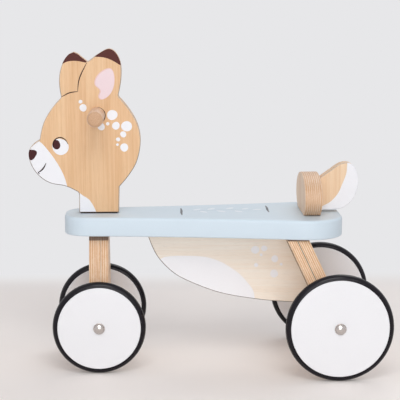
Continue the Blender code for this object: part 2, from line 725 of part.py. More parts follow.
def make_handlebar(head):
    """A beech dowel with rounded ends, glued through the head."""
    half = HANDLEBAR_LENGTH / 2.0
    shape = rod_profile(HANDLEBAR_RADIUS, -half, half, HANDLEBAR_END_ROUNDING)
    place = (-HANDLEBAR_SETBACK, 0.0, NECK_FOOT + HANDLEBAR_HEIGHT)
    piece("handlebar", turned(shape, ROUND_STEPS, hollow=False), "beech", steering, place,
          (0, 1, 0), smooth=True)
    wide = PLATE_THICKNESS / 2.0 + CUT_PAST
    drill([head], "handlebar_bore", HANDLEBAR_RADIUS + SEAT_GAP,
          (place[0], -wide, place[2]), (0, 1, 0), 2.0 * wide, steering)


def join_frame(seat, belly, backrest, tail, rear_boards):
    """The dowels and screws that hold the fixed woodwork together."""
    leg_x = WHEELBASE - (SEAT_UNDERSIDE - REAR_WHEEL_RADIUS) * math.tan(REAR_LEG_SLANT)
    for name, y in (("left", -LEG_DOWEL_SPACING), ("middle", 0.0), ("right", LEG_DOWEL_SPACING)):
        dowel("leg_dowel_" + name, [seat] + rear_boards, (leg_x, y, SEAT_UNDERSIDE), (0, 0, 1),
              DOWEL_RADIUS, DOWEL_LENGTH)
    for name, x in zip(("front", "rear"), BELLY_DOWEL_PLACES):
        dowel("belly_dowel_" + name, [seat, belly], (x, 0.0, SEAT_UNDERSIDE), (0, 0, 1),
              DOWEL_RADIUS, DOWEL_LENGTH)
    back = BACKREST_FRONT + BACKREST_THICKNESS
    for name, height in zip(("lower", "upper"), TAIL_DOWEL_HEIGHTS):
        dowel("tail_dowel_" + name, [backrest, tail], (back, 0.0, SEAT_HEIGHT + height), (1, 0, 0),
              TAIL_DOWEL_RADIUS, TAIL_DOWEL_LENGTH)
    for name, drop in zip(("lower", "upper"), BELLY_SCREW_DROPS):
        up_leg = (SEAT_UNDERSIDE - drop - REAR_WHEEL_RADIUS) / math.cos(REAR_LEG_SLANT)
        wood_screw("belly_screw_" + name, rear_boards + [belly],
                   (REAR_LEG_THICKNESS / 2.0, 0.0, up_leg), (1, 0, 0), BELLY_SCREW_LENGTH,
                   rear_slope)
    middle = BACKREST_FRONT + BACKREST_THICKNESS / 2.0
    for name, sign in (("left", -1), ("right", 1)):
        wood_screw("backrest_screw_" + name, [seat, backrest],
                   (middle, sign * BACKREST_SCREW_SPACING / 2.0, SEAT_UNDERSIDE), (0, 0, -1),
                   BACKREST_SCREW_LENGTH, walker)


seat_plank = make_seat_plank()
front_boards = make_front_leg()
rear_leg_boards = make_rear_leg()
belly_plate = make_belly()
head_plate = make_head()
backrest_panel = make_backrest()
tail_plate = make_tail()
make_steering(seat_plank, head_plate, front_boards)
make_handlebar(head_plate)
join_frame(seat_plank, belly_plate, backrest_panel, tail_plate, rear_leg_boards)
make_axle("front", steering, 0.0, FRONT_WHEEL_RADIUS, FRONT_TRACK, FRONT_WHEEL_STEPS,
          FRONT_WHEEL_RADIUS)
make_axle("rear", walker, WHEELBASE, REAR_WHEEL_RADIUS, REAR_TRACK, REAR_WHEEL_STEPS,
          REAR_WHEEL_RADIUS)
for leg_boards_made, end_x, axle_height, track_width in (
    (front_boards, 0.0, FRONT_WHEEL_RADIUS, FRONT_TRACK),
    (rear_leg_boards, WHEELBASE, REAR_WHEEL_RADIUS, REAR_TRACK),
):
    drill(leg_boards_made, leg_boards_made[0].name + "_axle_bore", AXLE_RADIUS + SEAT_GAP,
          (end_x, -track_width / 2.0, axle_height), (0, 1, 0), track_width, walker)
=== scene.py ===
# A wooden ride-on fawn on four wheels, dressed as it stands in its photograph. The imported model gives
# every size and place, and each section below dresses one piece or one group of like pieces.
# Lengths are in metres, or in millimetres where a comment says so. Colours are as a picture shows them.
import math

import bmesh
import bpy
from mathutils import Matrix, Vector
from mathutils.geometry import interpolate_bezier


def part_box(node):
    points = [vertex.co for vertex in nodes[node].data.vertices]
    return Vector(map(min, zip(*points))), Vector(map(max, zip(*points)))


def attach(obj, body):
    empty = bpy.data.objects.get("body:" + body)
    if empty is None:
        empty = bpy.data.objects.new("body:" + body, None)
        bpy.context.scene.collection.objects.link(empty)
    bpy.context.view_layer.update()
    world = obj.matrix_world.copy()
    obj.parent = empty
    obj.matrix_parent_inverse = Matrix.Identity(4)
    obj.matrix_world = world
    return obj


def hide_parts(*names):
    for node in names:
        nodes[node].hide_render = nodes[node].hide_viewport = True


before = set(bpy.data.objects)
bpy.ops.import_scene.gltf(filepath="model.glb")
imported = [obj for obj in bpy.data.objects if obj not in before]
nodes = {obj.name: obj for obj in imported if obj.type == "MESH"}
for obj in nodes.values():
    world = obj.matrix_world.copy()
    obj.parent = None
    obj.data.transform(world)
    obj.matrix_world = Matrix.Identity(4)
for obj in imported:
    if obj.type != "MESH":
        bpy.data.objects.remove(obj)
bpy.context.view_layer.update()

# The photograph's view: a camera nearly two metres off on the fawn's left, a little above the seat
# and tipped down, almost square to the side of the toy. Angles are in radians.
CAMERA_PLACE = (-0.0760, -1.8186, 0.5374)
CAMERA_TURN = 0.0362
CAMERA_DIP = 0.1653
CAMERA_LENS = 116.39
CAMERA_REACH = 100.0


def new_object(name, data):
    """An object in the scene, made from its camera, lamp or mesh."""
    made = bpy.data.objects.new(name, data)
    bpy.context.scene.collection.objects.link(made)
    return made


camera = new_object("photo_camera", bpy.data.cameras.new("photo_camera"))
camera.data.lens = CAMERA_LENS
camera.data.clip_end = CAMERA_REACH
camera.location = CAMERA_PLACE
camera.rotation_euler = (math.pi / 2.0 - CAMERA_DIP, 0.0, -CAMERA_TURN)
bpy.context.scene.camera = camera
bpy.context.scene.view_settings.view_transform = "Standard"

# The floor: one pale sheet that runs off in every direction. It is warm under the toy and cooler
# further out, where the eye takes it for the wall of a studio.
FLOOR_SIDE = 40.0
FLOOR_WARM = (250, 243, 238)
FLOOR_GLOW = (234, 225, 219)
FLOOR_LIFT = 0.08
FLOOR_FAR = (231, 231, 233)
FLOOR_GRAIN = 9.0
FLOOR_SHADE = 0.985
FLOOR_ROUGHNESS = 0.6
WARM_REACH = 0.40
FAR_REACH = 0.58
SIDE_REACH = 3.0
NOISE_SPREAD = (0.3, 0.7)


def seen(colour):
    """A colour as a picture shows it, 0 to 255, in the linear values that a shader takes."""
    shares = [part / 255.0 for part in colour]
    return (*[s / 12.92 if s <= 0.04045 else ((s + 0.055) / 1.055) ** 2.4 for s in shares], 1.0)


def wire(tree, node, sockets):
    """Sets each of the given sockets of a node to a value, or joins it to another node."""
    for socket, value in sockets.items():
        if isinstance(value, bpy.types.NodeSocket):
            tree.links.new(value, node.inputs[socket])
        else:
            node.inputs[socket].default_value = value


def add(tree, kind, sockets=None, **settings):
    """A shader node with its settings and its sockets."""
    made = tree.nodes.new("ShaderNode" + kind)
    for setting, value in settings.items():
        setattr(made, setting, value)
    wire(tree, made, sockets or {})
    return made


def work_out(tree, operation, *values):
    """The result of a Math node."""
    return add(tree, "Math", dict(enumerate(values)), operation=operation).outputs[0]


def combine(tree, operation, *values):
    """The result of a Vector Math node, for places or for colours."""
    made = add(tree, "VectorMath", dict(enumerate(values)), operation=operation)
    return made.outputs["Value" if operation in ("DOT_PRODUCT", "LENGTH") else "Vector"]


def split(tree, place):
    """The X, Y and Z of a place."""
    return add(tree, "SeparateXYZ", {0: place}).outputs


def ramp(tree, value, low, high, to_low=0.0, to_high=1.0):
    """The value's way from low to high, carried over to another pair of numbers."""
    sockets = {"Value": value, 1: low, 2: high, 3: to_low, 4: to_high}
    return add(tree, "MapRange", sockets, interpolation_type="SMOOTHSTEP").outputs[0]


def mixed(tree, share, first, second):
    """Two colours mixed by a share."""
    return add(tree, "Mix", {0: share, 6: first, 7: second}, data_type="RGBA").outputs[2]


def noise(tree, place, waves, detail=2.0, roughness=0.5, distortion=0.0):
    """Noise with so many waves to the metre, the same every way or given for each axis."""
    stretch = waves if isinstance(waves, tuple) else (waves, waves, waves)
    return add(tree, "TexNoise", {
        "Vector": combine(tree, "MULTIPLY", place, stretch), "Scale": 1.0, "Detail": detail,
        "Roughness": roughness, "Distortion": distortion,
    }).outputs["Fac"]


def spread(tree, value, low=0.0, high=1.0):
    """Noise carried over to a pair of numbers, from the range that it mostly keeps to."""
    return ramp(tree, value, *NOISE_SPREAD, low, high)


def new_material(name):
    """A material, its node tree, its Principled shader and its texture coordinates."""
    material = bpy.data.materials.new(name)
    material.use_nodes = True
    tree = material.node_tree
    return material, tree, tree.nodes["Principled BSDF"], add(tree, "TexCoord").outputs


def only_looked_at(tree):
    """One for a ray of sight, also one that comes off a gloss or through a glass, and nought for light."""
    rays = add(tree, "LightPath").outputs
    straight = work_out(tree, "MAXIMUM", rays["Is Camera Ray"], rays["Is Glossy Ray"])
    return work_out(tree, "MAXIMUM", straight, rays["Is Transmission Ray"])


def floor_material():
    """Matt floor near the toy, and a plain glow of the far colour wherever only the eye looks.
    A little of the glow lies over the near floor too, which softens the shadows."""
    material, tree, shader, place = new_material("studio_floor")
    axes = split(tree, place["Object"])
    behind = ramp(tree, work_out(tree, "ABSOLUTE", axes["Y"]), WARM_REACH, FAR_REACH)
    aside = ramp(tree, work_out(tree, "ABSOLUTE", axes["X"]), SIDE_REACH * 0.5, SIDE_REACH)
    far = work_out(tree, "MAXIMUM", behind, aside)
    grain = spread(tree, noise(tree, place["Object"], FLOOR_GRAIN, detail=3.0), FLOOR_SHADE, 1.0)
    colour = combine(tree, "MULTIPLY", mixed(tree, far, seen(FLOOR_WARM), seen(FLOOR_FAR)), grain)
    wire(tree, shader, {"Base Color": colour, "Roughness": FLOOR_ROUGHNESS})
    glow_colour = mixed(tree, far, seen(FLOOR_GLOW), seen(FLOOR_FAR))
    glow = add(tree, "Emission", {"Color": glow_colour, "Strength": 1.0})
    share = work_out(tree, "MULTIPLY", only_looked_at(tree), ramp(tree, far, 0.0, 1.0, FLOOR_LIFT, 1.0))
    both = add(tree, "MixShader", {0: share, 1: shader.outputs[0], 2: glow.outputs[0]})
    wire(tree, tree.nodes["Material Output"], {"Surface": both.outputs[0]})
    return material


def floor_sheet():
    """The floor as one square, level with the bottom of the wheels."""
    builder = bmesh.new()
    bmesh.ops.create_grid(builder, x_segments=1, y_segments=1, size=FLOOR_SIDE / 2.0)
    mesh = bpy.data.meshes.new("studio_floor")
    builder.to_mesh(mesh)
    builder.free()
    mesh.materials.append(floor_material())
    new_object("studio_floor", mesh)


floor_sheet()

# The studio light: two small windows in front, one to each side, a broad low lamp between them and
# a broad high one over it, a big window behind, and an even pale room all round. Each lamp has its
# bearing and its height in degrees, its distance and its side in metres, and its power in watts.
LAMPS = (
    ("left_window", -28.0, 33.0, 2.2, 0.60, 1.6),
    ("right_window", 26.0, 26.0, 2.2, 0.36, 1.8),
    ("low_front_lamp", 0.0, 6.0, 2.2, 1.20, 11.2),
    ("high_front_lamp", 0.0, 48.0, 2.0, 1.00, 13.0),
    ("far_window", 155.0, 50.0, 2.2, 1.20, 10.0),
)
LAMP_AIM = Vector((0.0, 0.0, 0.20))
ROOM_COLOUR = (248, 249, 255)
ROOM_LIGHT = 0.46


def studio_light():
    """The lamps, each aimed at the middle of the toy, and the room's own even light."""
    for name, bearing, height, distance, size, power in LAMPS:
        lamp = new_object(name, bpy.data.lights.new(name, "AREA"))
        lamp.data.energy = power
        lamp.data.size = size
        around, up = math.radians(bearing), math.radians(height)
        away = Vector((math.sin(around) * math.cos(up), -math.cos(around) * math.cos(up), math.sin(up)))
        lamp.location = LAMP_AIM + away * distance
        lamp.rotation_euler = away.to_track_quat("Z", "Y").to_euler()
    room = bpy.data.worlds.new("studio_room")
    room.use_nodes = True
    bpy.context.scene.world = room
    tree = room.node_tree
    lit = tree.nodes["Background"]
    wire(tree, lit, {"Color": seen(ROOM_COLOUR), "Strength": ROOM_LIGHT})
    backdrop = add(tree, "Background", {"Color": seen(FLOOR_FAR), "Strength": 1.0})
    both = add(tree, "MixShader", {0: only_looked_at(tree), 1: lit.outputs[0], 2: backdrop.outputs[0]})
    wire(tree, tree.nodes["World Output"], {"Surface": both.outputs[0]})


studio_light()

# The seat plank: one solid board, tapered towards the head, with rounded ends and soft edges.
# It is sprayed pale blue all over in satin paint. The other parts are fixed to it or turn in it.
SEAT_BLUE = (208, 222, 231)
SEAT_TOP_ROUNDING = 0.0040
SEAT_UNDER_ROUNDING = 0.0020
OUTLINE_STEP = 0.0025
CORNER_TURN = math.radians(38.0)
CORNER_CLEAR = 0.0060
SHARP_TURN = math.radians(35.0)
SAME_PLACE = 0.00001
FACE_LIP = 0.0004
PAINT_ROUGHNESS = (0.38, 0.45)
PAINT_DUST = 0.985


def flat(x, y):
    """A point of an outline in its own plane."""
    return Vector((x, y, 0.0))


def rim_of(name, axis, level):
    """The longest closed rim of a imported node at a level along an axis, as points in its plane."""
    builder = bmesh.new()
    builder.from_mesh(nodes[name].data)
    bmesh.ops.remove_doubles(builder, verts=builder.verts, dist=SAME_PLACE)
    level_verts = {vert for vert in builder.verts if abs(vert.co[axis] - level) < 2.0 * SAME_PLACE}
    rim = [
        edge for edge in builder.edges
        if level_verts.issuperset(edge.verts)
        and any(not level_verts.issuperset(face.verts) for face in edge.link_faces)
    ]
    longest = []
    while rim:
        chain = list(rim.pop().verts)
        while chain[-1] is not chain[0]:
            step = next(edge for edge in chain[-1].link_edges if edge in rim)
            rim.remove(step)
            chain.append(step.other_vert(chain[-1]))
        longest = max(longest, chain[:-1], key=len)
    first, second = [a for a in range(3) if a != axis]
    points = [flat(vert.co[first], vert.co[second]) for vert in longest]
    builder.free()
    turns = sum(a.cross(b).z for a, b in zip(points, points[1:] + points[:1]))
    return points if turns > 0.0 else points[::-1]


def softened(points):
    """The closed outline with its smooth stretches drawn finer, its corners and its reach kept.
    No point is added so close to a corner that a rim drawn in from it would cross itself."""
    count = len(points)
    along = [(points[(i + 1) % count] - points[i]) for i in range(count)]
    sharp = [along[i - 1].angle(along[i]) > CORNER_TURN for i in range(count)]
    fine = []
    for i in range(count):
        here, there = points[i], points[(i + 1) % count]
        chord = along[i].length
        leave = along[i] if sharp[i] else there - points[i - 1]
        reach = along[i] if sharp[(i + 1) % count] else points[(i + 2) % count] - here
        handles = [way.normalized() * chord / 3.0 for way in (leave, reach)]
        steps = max(1, round(chord / OUTLINE_STEP))
        drawn = interpolate_bezier(here, here + handles[0], there - handles[1], there, steps + 1)[1:-1]
        corners = [end for end, is_sharp in ((here, sharp[i]), (there, sharp[(i + 1) % count])) if is_sharp]
        fine.append(here)
        fine += [p for p in drawn if all((p - end).length > CORNER_CLEAR for end in corners)]
    low = [min(point[a] for point in points) for a in (0, 1)]
    high = [max(point[a] for point in points) for a in (0, 1)]
    return [flat(*[min(max(p[a], low[a]), high[a]) for a in (0, 1)]) for p in fine]


def drawn_in(points, distance):
    """The closed outline moved inwards by a distance, with mitred corners."""
    moved = []
    for i, here in enumerate(points):
        before = (here - points[i - 1]).normalized()
        after = (points[(i + 1) % len(points)] - here).normalized()
        inward = flat(-before.y - after.y, before.x + after.x)
        moved.append(here + inward * distance / (1.0 + before.dot(after)))
    return moved


def placed(plane, points, level):
    """An outline's places in space, at a level across its plane, which is XY, XZ or YZ."""
    if plane == "XY":
        return [(p.x, p.y, level) for p in points]
    if plane == "XZ":
        return [(p.x, level, p.y) for p in points]
    return [(level, p.x, p.y) for p in points]


def band(builder, first, second):
    """Faces between two loops of points, or triangles where a loop is one point over and over."""
    for i in range(len(first)):
        j = (i + 1) % len(first)
        corners = dict.fromkeys((first[i], first[j], second[j], second[i]))
        builder.faces.new(list(corners))


def shell(builder, loops):
    """A closed skin over loops of places, with a face over each end."""
    rings = [[builder.verts.new(place) for place in loop] for loop in loops]
    for first, second in zip(rings, rings[1:]):
        band(builder, first, second)
    builder.faces.new(rings[0])
    builder.faces.new(rings[-1])


def finished(name, builder, material, sharp_turn=SHARP_TURN):
    """A named piece from a bmesh, shaded smooth up to its clear edges."""
    bmesh.ops.recalc_face_normals(builder, faces=builder.faces)
    mesh = bpy.data.meshes.new(name)
    builder.to_mesh(mesh)
    builder.free()
    mesh.shade_smooth()
    mesh.set_sharp_from_angle(angle=sharp_turn)
    mesh.materials.append(material)
    return new_object(name, mesh)


def board(name, outline, plane, levels, roundings, material, steps=5):
    """A board between two levels, each of its two rims rounded by its own radius."""
    rings = []
    for level, rounding, inward in zip(levels, roundings, (1.0, -1.0)):
        turn = [(rounding + FACE_LIP, level)]
        for i in range(steps + 1):
            angle = math.pi / 2.0 * i / steps
            rise = inward * rounding * (1.0 - math.cos(angle))
            turn.append((rounding * (1.0 - math.sin(angle)), level + rise))
        rings += turn if inward > 0.0 else turn[::-1]
    builder = bmesh.new()
    shell(builder, [placed(plane, drawn_in(outline, inset), level) for inset, level in rings])
    return finished(name, builder, material)


def start_group(name, **inputs):
    """A shader node group with named inputs, which puts out a colour, a roughness and a height."""
    group = bpy.data.node_groups.new(name, "ShaderNodeTree")
    outputs = {"Color": "Color", "Roughness": "Float", "Height": "Float"}
    for way, sockets in (("INPUT", inputs), ("OUTPUT", outputs)):
        for socket, kind in sockets.items():
            group.interface.new_socket(socket, in_out=way, socket_type="NodeSocket" + kind)
    return group, group.nodes.new("NodeGroupInput").outputs, group.nodes.new("NodeGroupOutput")


def use_group(tree, group, sockets):
    """A node group placed in a material, with its sockets set or joined."""
    return add(tree, "Group", sockets, node_tree=group).outputs


def relief(tree, height, depth, strength):
    """A height made into fine relief, its depth in metres, for a shader's Normal."""
    return add(tree, "Bump", {"Height": height, "Distance": depth, "Strength": strength}).outputs[0]


def paint_group():
    """Sprayed satin paint: faint clouds of tone, a fine orange-peel skin and a few dull patches."""
    group, given, made = start_group(
        "satin_paint", Place="Vector", Color="Color", Clouds="Float", Dullness="Float"
    )
    clouds = noise(group, given["Place"], 14.0, detail=3.0)
    dust = noise(group, given["Place"], 620.0, detail=1.0)
    worn = noise(group, given["Place"], 40.0, detail=4.0, roughness=0.6)
    peel = noise(group, given["Place"], 900.0, detail=1.0)
    tone = work_out(group, "SUBTRACT", clouds, 0.5)
    tone = work_out(group, "MULTIPLY_ADD", tone, given["Clouds"], 1.0)
    tone = work_out(group, "MULTIPLY", tone, ramp(group, dust, 0.25, 0.5, PAINT_DUST, 1.0))
    rough = ramp(group, worn, 0.35, 0.75, *PAINT_ROUGHNESS)
    wire(group, made, {
        "Color": combine(group, "MULTIPLY", given["Color"], tone),
        "Roughness": work_out(group, "MULTIPLY", rough, given["Dullness"]), "Height": peel,
    })
    return group


SATIN_PAINT = paint_group()


def painted(name, colour, clouds=0.05, skin=0.00004, gloss=0.5, dullness=1.0):
    """A satin paint of one colour, with so much cloud in its tone and a skin so many metres deep.
    Its gloss is the shader's specular level."""
    material, tree, shader, place = new_material(name)
    paint = use_group(tree, SATIN_PAINT, {
        "Place": place["Object"], "Color": seen(colour), "Clouds": clouds, "Dullness": dullness,
    })
    wire(tree, shader, {
        "Base Color": paint["Color"], "Roughness": paint["Roughness"], "Specular IOR Level": gloss,
        "Normal": relief(tree, paint["Height"], skin, strength=0.3),
    })
    return material


seat_low, seat_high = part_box("seat_plank")
seat_rim = softened(rim_of("seat_plank", 2, seat_high.z - SEAT_TOP_ROUNDING))
seat = board(
    "seat_board", seat_rim, "XY", (seat_low.z, seat_high.z), (SEAT_UNDER_ROUNDING, SEAT_TOP_ROUNDING),
    painted("seat_blue_paint", SEAT_BLUE, clouds=0.04, skin=0.00001), steps=8,
)
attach(seat, "frame")
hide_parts("seat_plank")

# The legs: each is two plywood boards glued face to face. Sawn and sanded edges show the crossed
# veneers as fine stripes, and the whole is under a clear satin lacquer. The front one turns with
# the steering, and the rear one slants and is dowelled under the plank.
VENEER = 0.00150
VENEER_LIGHT = (245, 219, 189)
VENEER_DARK = (212, 160, 114)
VENEER_GLUE = (120, 78, 50)
VENEER_GLUE_REACH = (0.03, 0.12)
VENEER_GLUE_SHARE = 0.45
VENEER_GLUE_SUNK = 0.8
VENEER_SHIFT = 0.0731
VENEER_SQUASH = 0.3
STREAK_TONE = 0.45
CUT_STREAK_TONE = 0.25
END_GRAIN_TONE = 0.66
END_GRAIN_DULLNESS = 0.12
FIGURE_TONE = 0.35
FACE_DEPTH = (0.0001, 0.0003)
SEAM_DEPTH = (0.0002, 0.0009)
# A dark brown for the glue seam, and for the painted shade under the plank at a leg's top, which goes up to
# the share below.
SEAM_AND_SHADE_BROWN = (74, 50, 36)
SEAT_SHADE_SHARE = 0.85
PLY_ROUGHNESS = (0.42, 0.52)
PLY_RELIEF = 0.00012
LACQUER = 0.15
LACQUER_ROUGHNESS = 0.30
REAR_LEG_SLANT = math.radians(25.2)
# How dark each leg's glue seam shows, and the heights over which its top edge turns dark with painted shade
# under the plank.
FRONT_SEAM = 0.2
REAR_SEAM = 0.6
FRONT_SEAT_SHADE = (0.1812, 0.1826)
REAR_SEAT_SHADE = (0.1868, 0.1884)
FRONT_GLUE = (178, 134, 98)
REAR_GLUE = (46, 32, 24)
GLUE_INSET = 0.0005
GLUE_GAP = 0.00002
BACKWARD = Vector((1.0, 0.0, 0.0))
ASIDE = Vector((0.0, 1.0, 0.0))
UP = Vector((0.0, 0.0, 1.0))
WHITE = (1.0, 1.0, 1.0, 1.0)


def join(tree, *parts):
    """A place from its X, Y and Z."""
    return add(tree, "CombineXYZ", dict(enumerate(parts))).outputs[0]


def plywood_group():
    """Crossed veneers. Place runs along the face grain, across it, and up through the stack from
    the middle of the board. Cut edges show end grain in every other veneer and thin glue lines."""
    group, given, made = start_group(
        "crossed_veneers", Place="Vector", Half="Float", Veneer="Float", Light="Color", Dark="Color",
        Seam="Float", Rub="Float", Face="Float",
    )
    axes = split(group, given["Place"])
    rise = work_out(group, "ADD", axes["Z"], given["Half"])
    stack = work_out(group, "DIVIDE", rise, given["Veneer"])
    layer = work_out(group, "FLOOR", stack)
    share = work_out(group, "FRACT", stack)
    crossed = work_out(group, "MODULO", work_out(group, "ABSOLUTE", layer), 2.0)
    own = work_out(group, "MULTIPLY", layer, VENEER_SHIFT)
    lift = work_out(group, "MULTIPLY_ADD", axes["Z"], VENEER_SQUASH, own)
    straight = join(group, axes["X"], axes["Y"], lift)
    turned_about = join(group, axes["Y"], axes["X"], lift)
    ways = {0: crossed, 4: straight, 5: turned_about}
    veneer_place = add(group, "Mix", ways, data_type="VECTOR").outputs[1]
    lines = noise(group, veneer_place, (9.0, 420.0, 420.0), detail=4.0, roughness=0.62, distortion=0.15)
    pores = noise(group, veneer_place, (70.0, 2600.0, 2600.0), detail=1.0)
    figure = noise(group, veneer_place, (3.2, 46.0, 46.0), roughness=0.45, distortion=0.9)
    depth = work_out(group, "SUBTRACT", given["Half"], work_out(group, "ABSOLUTE", axes["Z"]))
    inside = ramp(group, depth, *FACE_DEPTH)
    end_grain = work_out(group, "MULTIPLY", crossed, inside)
    streaks = work_out(group, "MULTIPLY_ADD", inside, CUT_STREAK_TONE - STREAK_TONE, STREAK_TONE)
    tone = work_out(group, "MULTIPLY", ramp(group, figure, 0.30, 0.72), FIGURE_TONE)
    tone = work_out(group, "MULTIPLY_ADD", ramp(group, lines, 0.32, 0.70), streaks, tone)
    tone = work_out(group, "MULTIPLY_ADD", end_grain, END_GRAIN_TONE, tone)
    colour = mixed(group, tone, given["Light"], given["Dark"])
    colour = combine(group, "MULTIPLY", colour, ramp(group, pores, 0.30, 0.44, 0.90, 1.0))
    to_glue = work_out(group, "MINIMUM", share, work_out(group, "SUBTRACT", 1.0, share))
    glue = ramp(group, to_glue, *VENEER_GLUE_REACH, VENEER_GLUE_SHARE, 0.0)
    glue = work_out(group, "MULTIPLY", glue, inside)
    colour = mixed(group, glue, colour, seen(VENEER_GLUE))
    colour = combine(group, "MULTIPLY", colour, mixed(group, inside, given["Face"], WHITE))
    from_middle = work_out(group, "MULTIPLY", axes["Z"], work_out(group, "SIGN", given["Seam"]))
    to_seam = work_out(group, "SUBTRACT", given["Half"], from_middle)
    seam = work_out(group, "MULTIPLY", ramp(group, to_seam, *SEAM_DEPTH, 1.0, 0.0),
                    work_out(group, "ABSOLUTE", given["Seam"]))
    # The glue seam, and the painted shade under the plank, darken the colour towards the dark brown.
    colour = mixed(group, work_out(group, "MAXIMUM", seam, given["Rub"]), colour, seen(SEAM_AND_SHADE_BROWN))
    rough = spread(group, lines, *PLY_ROUGHNESS)
    wire(group, made, {
        "Color": colour,
        "Roughness": work_out(group, "MULTIPLY_ADD", end_grain, END_GRAIN_DULLNESS, rough),
        "Height": work_out(group, "MULTIPLY_ADD", glue, -VENEER_GLUE_SUNK, lines),
    })
    return group


CROSSED_VENEERS = plywood_group()


def plywood(name, middle, along, through, half, light=VENEER_LIGHT, dark=VENEER_DARK, seam=0.0,
            seat_shade=None, face=1.0):
    """Lacquered plywood whose stack of veneers is centred on a point and rises in one direction.
    A glue seam shows along one of its faces, above or below nought, and a top edge may take painted
    shade under the plank, darkening between two heights. Its face veneers can be paler than its core."""
    material, tree, shader, place = new_material(name)
    centred = combine(tree, "SUBTRACT", place["Object"], middle)
    ways = (along, through.cross(along), through)
    veneers = round(2.0 * half / VENEER)
    veneers += 1 - veneers % 2
    # Painted shade under the plank: the board turns dark brown towards its top edge, between the two
    # heights.
    seat_shaded = 0.0
    if seat_shade is not None:
        seat_shaded = ramp(tree, split(tree, place["Object"])["Z"], *seat_shade, 0.0, SEAT_SHADE_SHARE)
    wood = use_group(tree, CROSSED_VENEERS, {
        "Place": join(tree, *[combine(tree, "DOT_PRODUCT", centred, way) for way in ways]),
        "Half": half, "Veneer": 2.0 * half / veneers, "Light": seen(light), "Dark": seen(dark),
        "Seam": seam, "Face": face, "Rub": seat_shaded,
    })
    wire(tree, shader, {
        "Base Color": wood["Color"], "Roughness": wood["Roughness"],
        "Normal": relief(tree, wood["Height"], PLY_RELIEF, strength=0.4),
        "Coat Weight": LACQUER, "Coat Roughness": LACQUER_ROUGHNESS,
    })
    return material


def glue_and_shade_paint(name, colour):
    """A cloudy, dull paint: dried wood glue between the leg boards, and painted shade in the handlebar's
    hole.
    """
    return painted(name, colour, clouds=0.3, skin=0.00005, gloss=0.2)


def refinish(name, material):
    """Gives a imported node, kept as it is, its own finish."""
    for material_slot in nodes[name].material_slots:
        material_slot.material = material


def middle_and_half(name):
    """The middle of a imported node's box, and half its length, breadth and height."""
    low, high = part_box(name)
    return (low + high) / 2.0, (high - low) / 2.0


def glue_line(leg, way, body, colour):
    """The glue between a leg's two boards, laid face to face along a way, just short of their edges."""
    front = [vert.co for vert in nodes[leg + "_front_board"].data.vertices]
    foot = max(place.dot(way) for place in front)
    head = min(vert.co.dot(way) for vert in nodes[leg + "_back_board"].data.vertices)
    on_face = {tuple(round(c, 6) for c in p) for p in front if p.dot(way) > foot - SAME_PLACE}
    corners = [Vector(place) for place in sorted(on_face)]
    middle = sum(corners, Vector()) / len(corners)
    upward = way.cross(ASIDE)
    corners.sort(key=lambda corner: math.atan2((corner - middle).dot(upward), (corner - middle).dot(ASIDE)))
    edge = [corner + (middle - corner).normalized() * GLUE_INSET for corner in corners]
    builder = bmesh.new()
    shell(builder, [[place + way * level for place in edge] for level in (GLUE_GAP, head - foot - GLUE_GAP)])
    glue = finished(leg + "_glue", builder, glue_and_shade_paint(leg + "_glue", colour))
    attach(glue, body)


for name, seam in (("front_leg_front_board", FRONT_SEAM), ("front_leg_back_board", -FRONT_SEAM)):
    middle, half = middle_and_half(name)
    refinish(name, plywood(name + "_ply", middle, UP, BACKWARD, half.x, seam=seam, seat_shade=FRONT_SEAT_SHADE))
slope = Vector((math.cos(REAR_LEG_SLANT), 0.0, math.sin(REAR_LEG_SLANT)))
up_slope = Vector((-math.sin(REAR_LEG_SLANT), 0.0, math.cos(REAR_LEG_SLANT)))
for name, seam in (("rear_leg_front_board", REAR_SEAM), ("rear_leg_back_board", -REAR_SEAM)):
    reaches = [vert.co.dot(slope) for vert in nodes[name].data.vertices]
    middle = slope * (min(reaches) + max(reaches)) / 2.0
    half_through = (max(reaches) - min(reaches)) / 2.0
    refinish(name, plywood(name + "_ply", middle, up_slope, slope, half_through, seam=seam, seat_shade=REAR_SEAT_SHADE))
glue_line("front_leg", BACKWARD, "steering", FRONT_GLUE)
glue_line("rear_leg", slope, "frame", REAR_GLUE)

# The belly plate: birch plywood with its grain lengthways, glued and screwed under the plank.
# Its rounded rims, like those of the tail and the head, are grey-brown with painted shade, darker
# where they face down. The belly's white patch and a few white spots are printed on both of its faces.
PACKED_ROUNDING = 0.0014
PLATE_EDGE_ROUNDING = 0.0010
BELLY_LIGHT = (252, 243, 230)
BELLY_DARK = (247, 230, 210)
BELLY_WHITE = (247, 246, 248)
# The rims' colours: painted shade on rims that face down, the lit colour on rims that face up.
RIM_SHADE_BELOW = (92, 77, 68)
RIM_LIT_ABOVE = (204, 186, 168)
RIM_ROUGHNESS = 0.5
RIM_GLOSS = 0.3
# The painted shade on the rims turns from dark to light while a rim's normal points up by these two shares,
# and a face is one of a rim's if its normal points sideways by a share between the other two.
RIM_SHADE_TURN = (-0.5, 0.3)
RIM_NORMALS = (0.05, 0.999)
PRINT_PROUD = 0.00010
PRINT_SUNK = 0.00005
PRINT_SKIN = 0.00003
PRINT_SHARP_TURN = math.radians(30.0)
SPOT_STEPS = 32
SPOT_WOBBLE = (0.035, 0.02)
MM = 0.001

# The patch's upper edge and the spots, in millimetres behind the steering axis and above the floor.
# A spot has its place and its radius.
BELLY_PATCH = (
    (74.0, 140.0), (88.0, 151.4), (99.4, 154.1), (120.9, 154.6), (149.6, 152.8), (171.1, 146.0),
    (188.4, 135.7), (199.9, 126.9), (211.5, 113.8), (218.7, 103.6), (221.6, 90.6), (222.0, 80.0),
)
BELLY_PATCH_BELOW = ((222.0, 70.0), (60.0, 70.0), (60.0, 140.0))
BELLY_SPOTS = (
    (221.6, 162.6, 5.7), (234.5, 164.6, 4.3), (230.2, 155.3, 2.1), (249.7, 149.3, 5.0),
    (259.1, 141.2, 2.1), (223.0, 140.3, 2.9), (249.0, 127.6, 5.7),
)


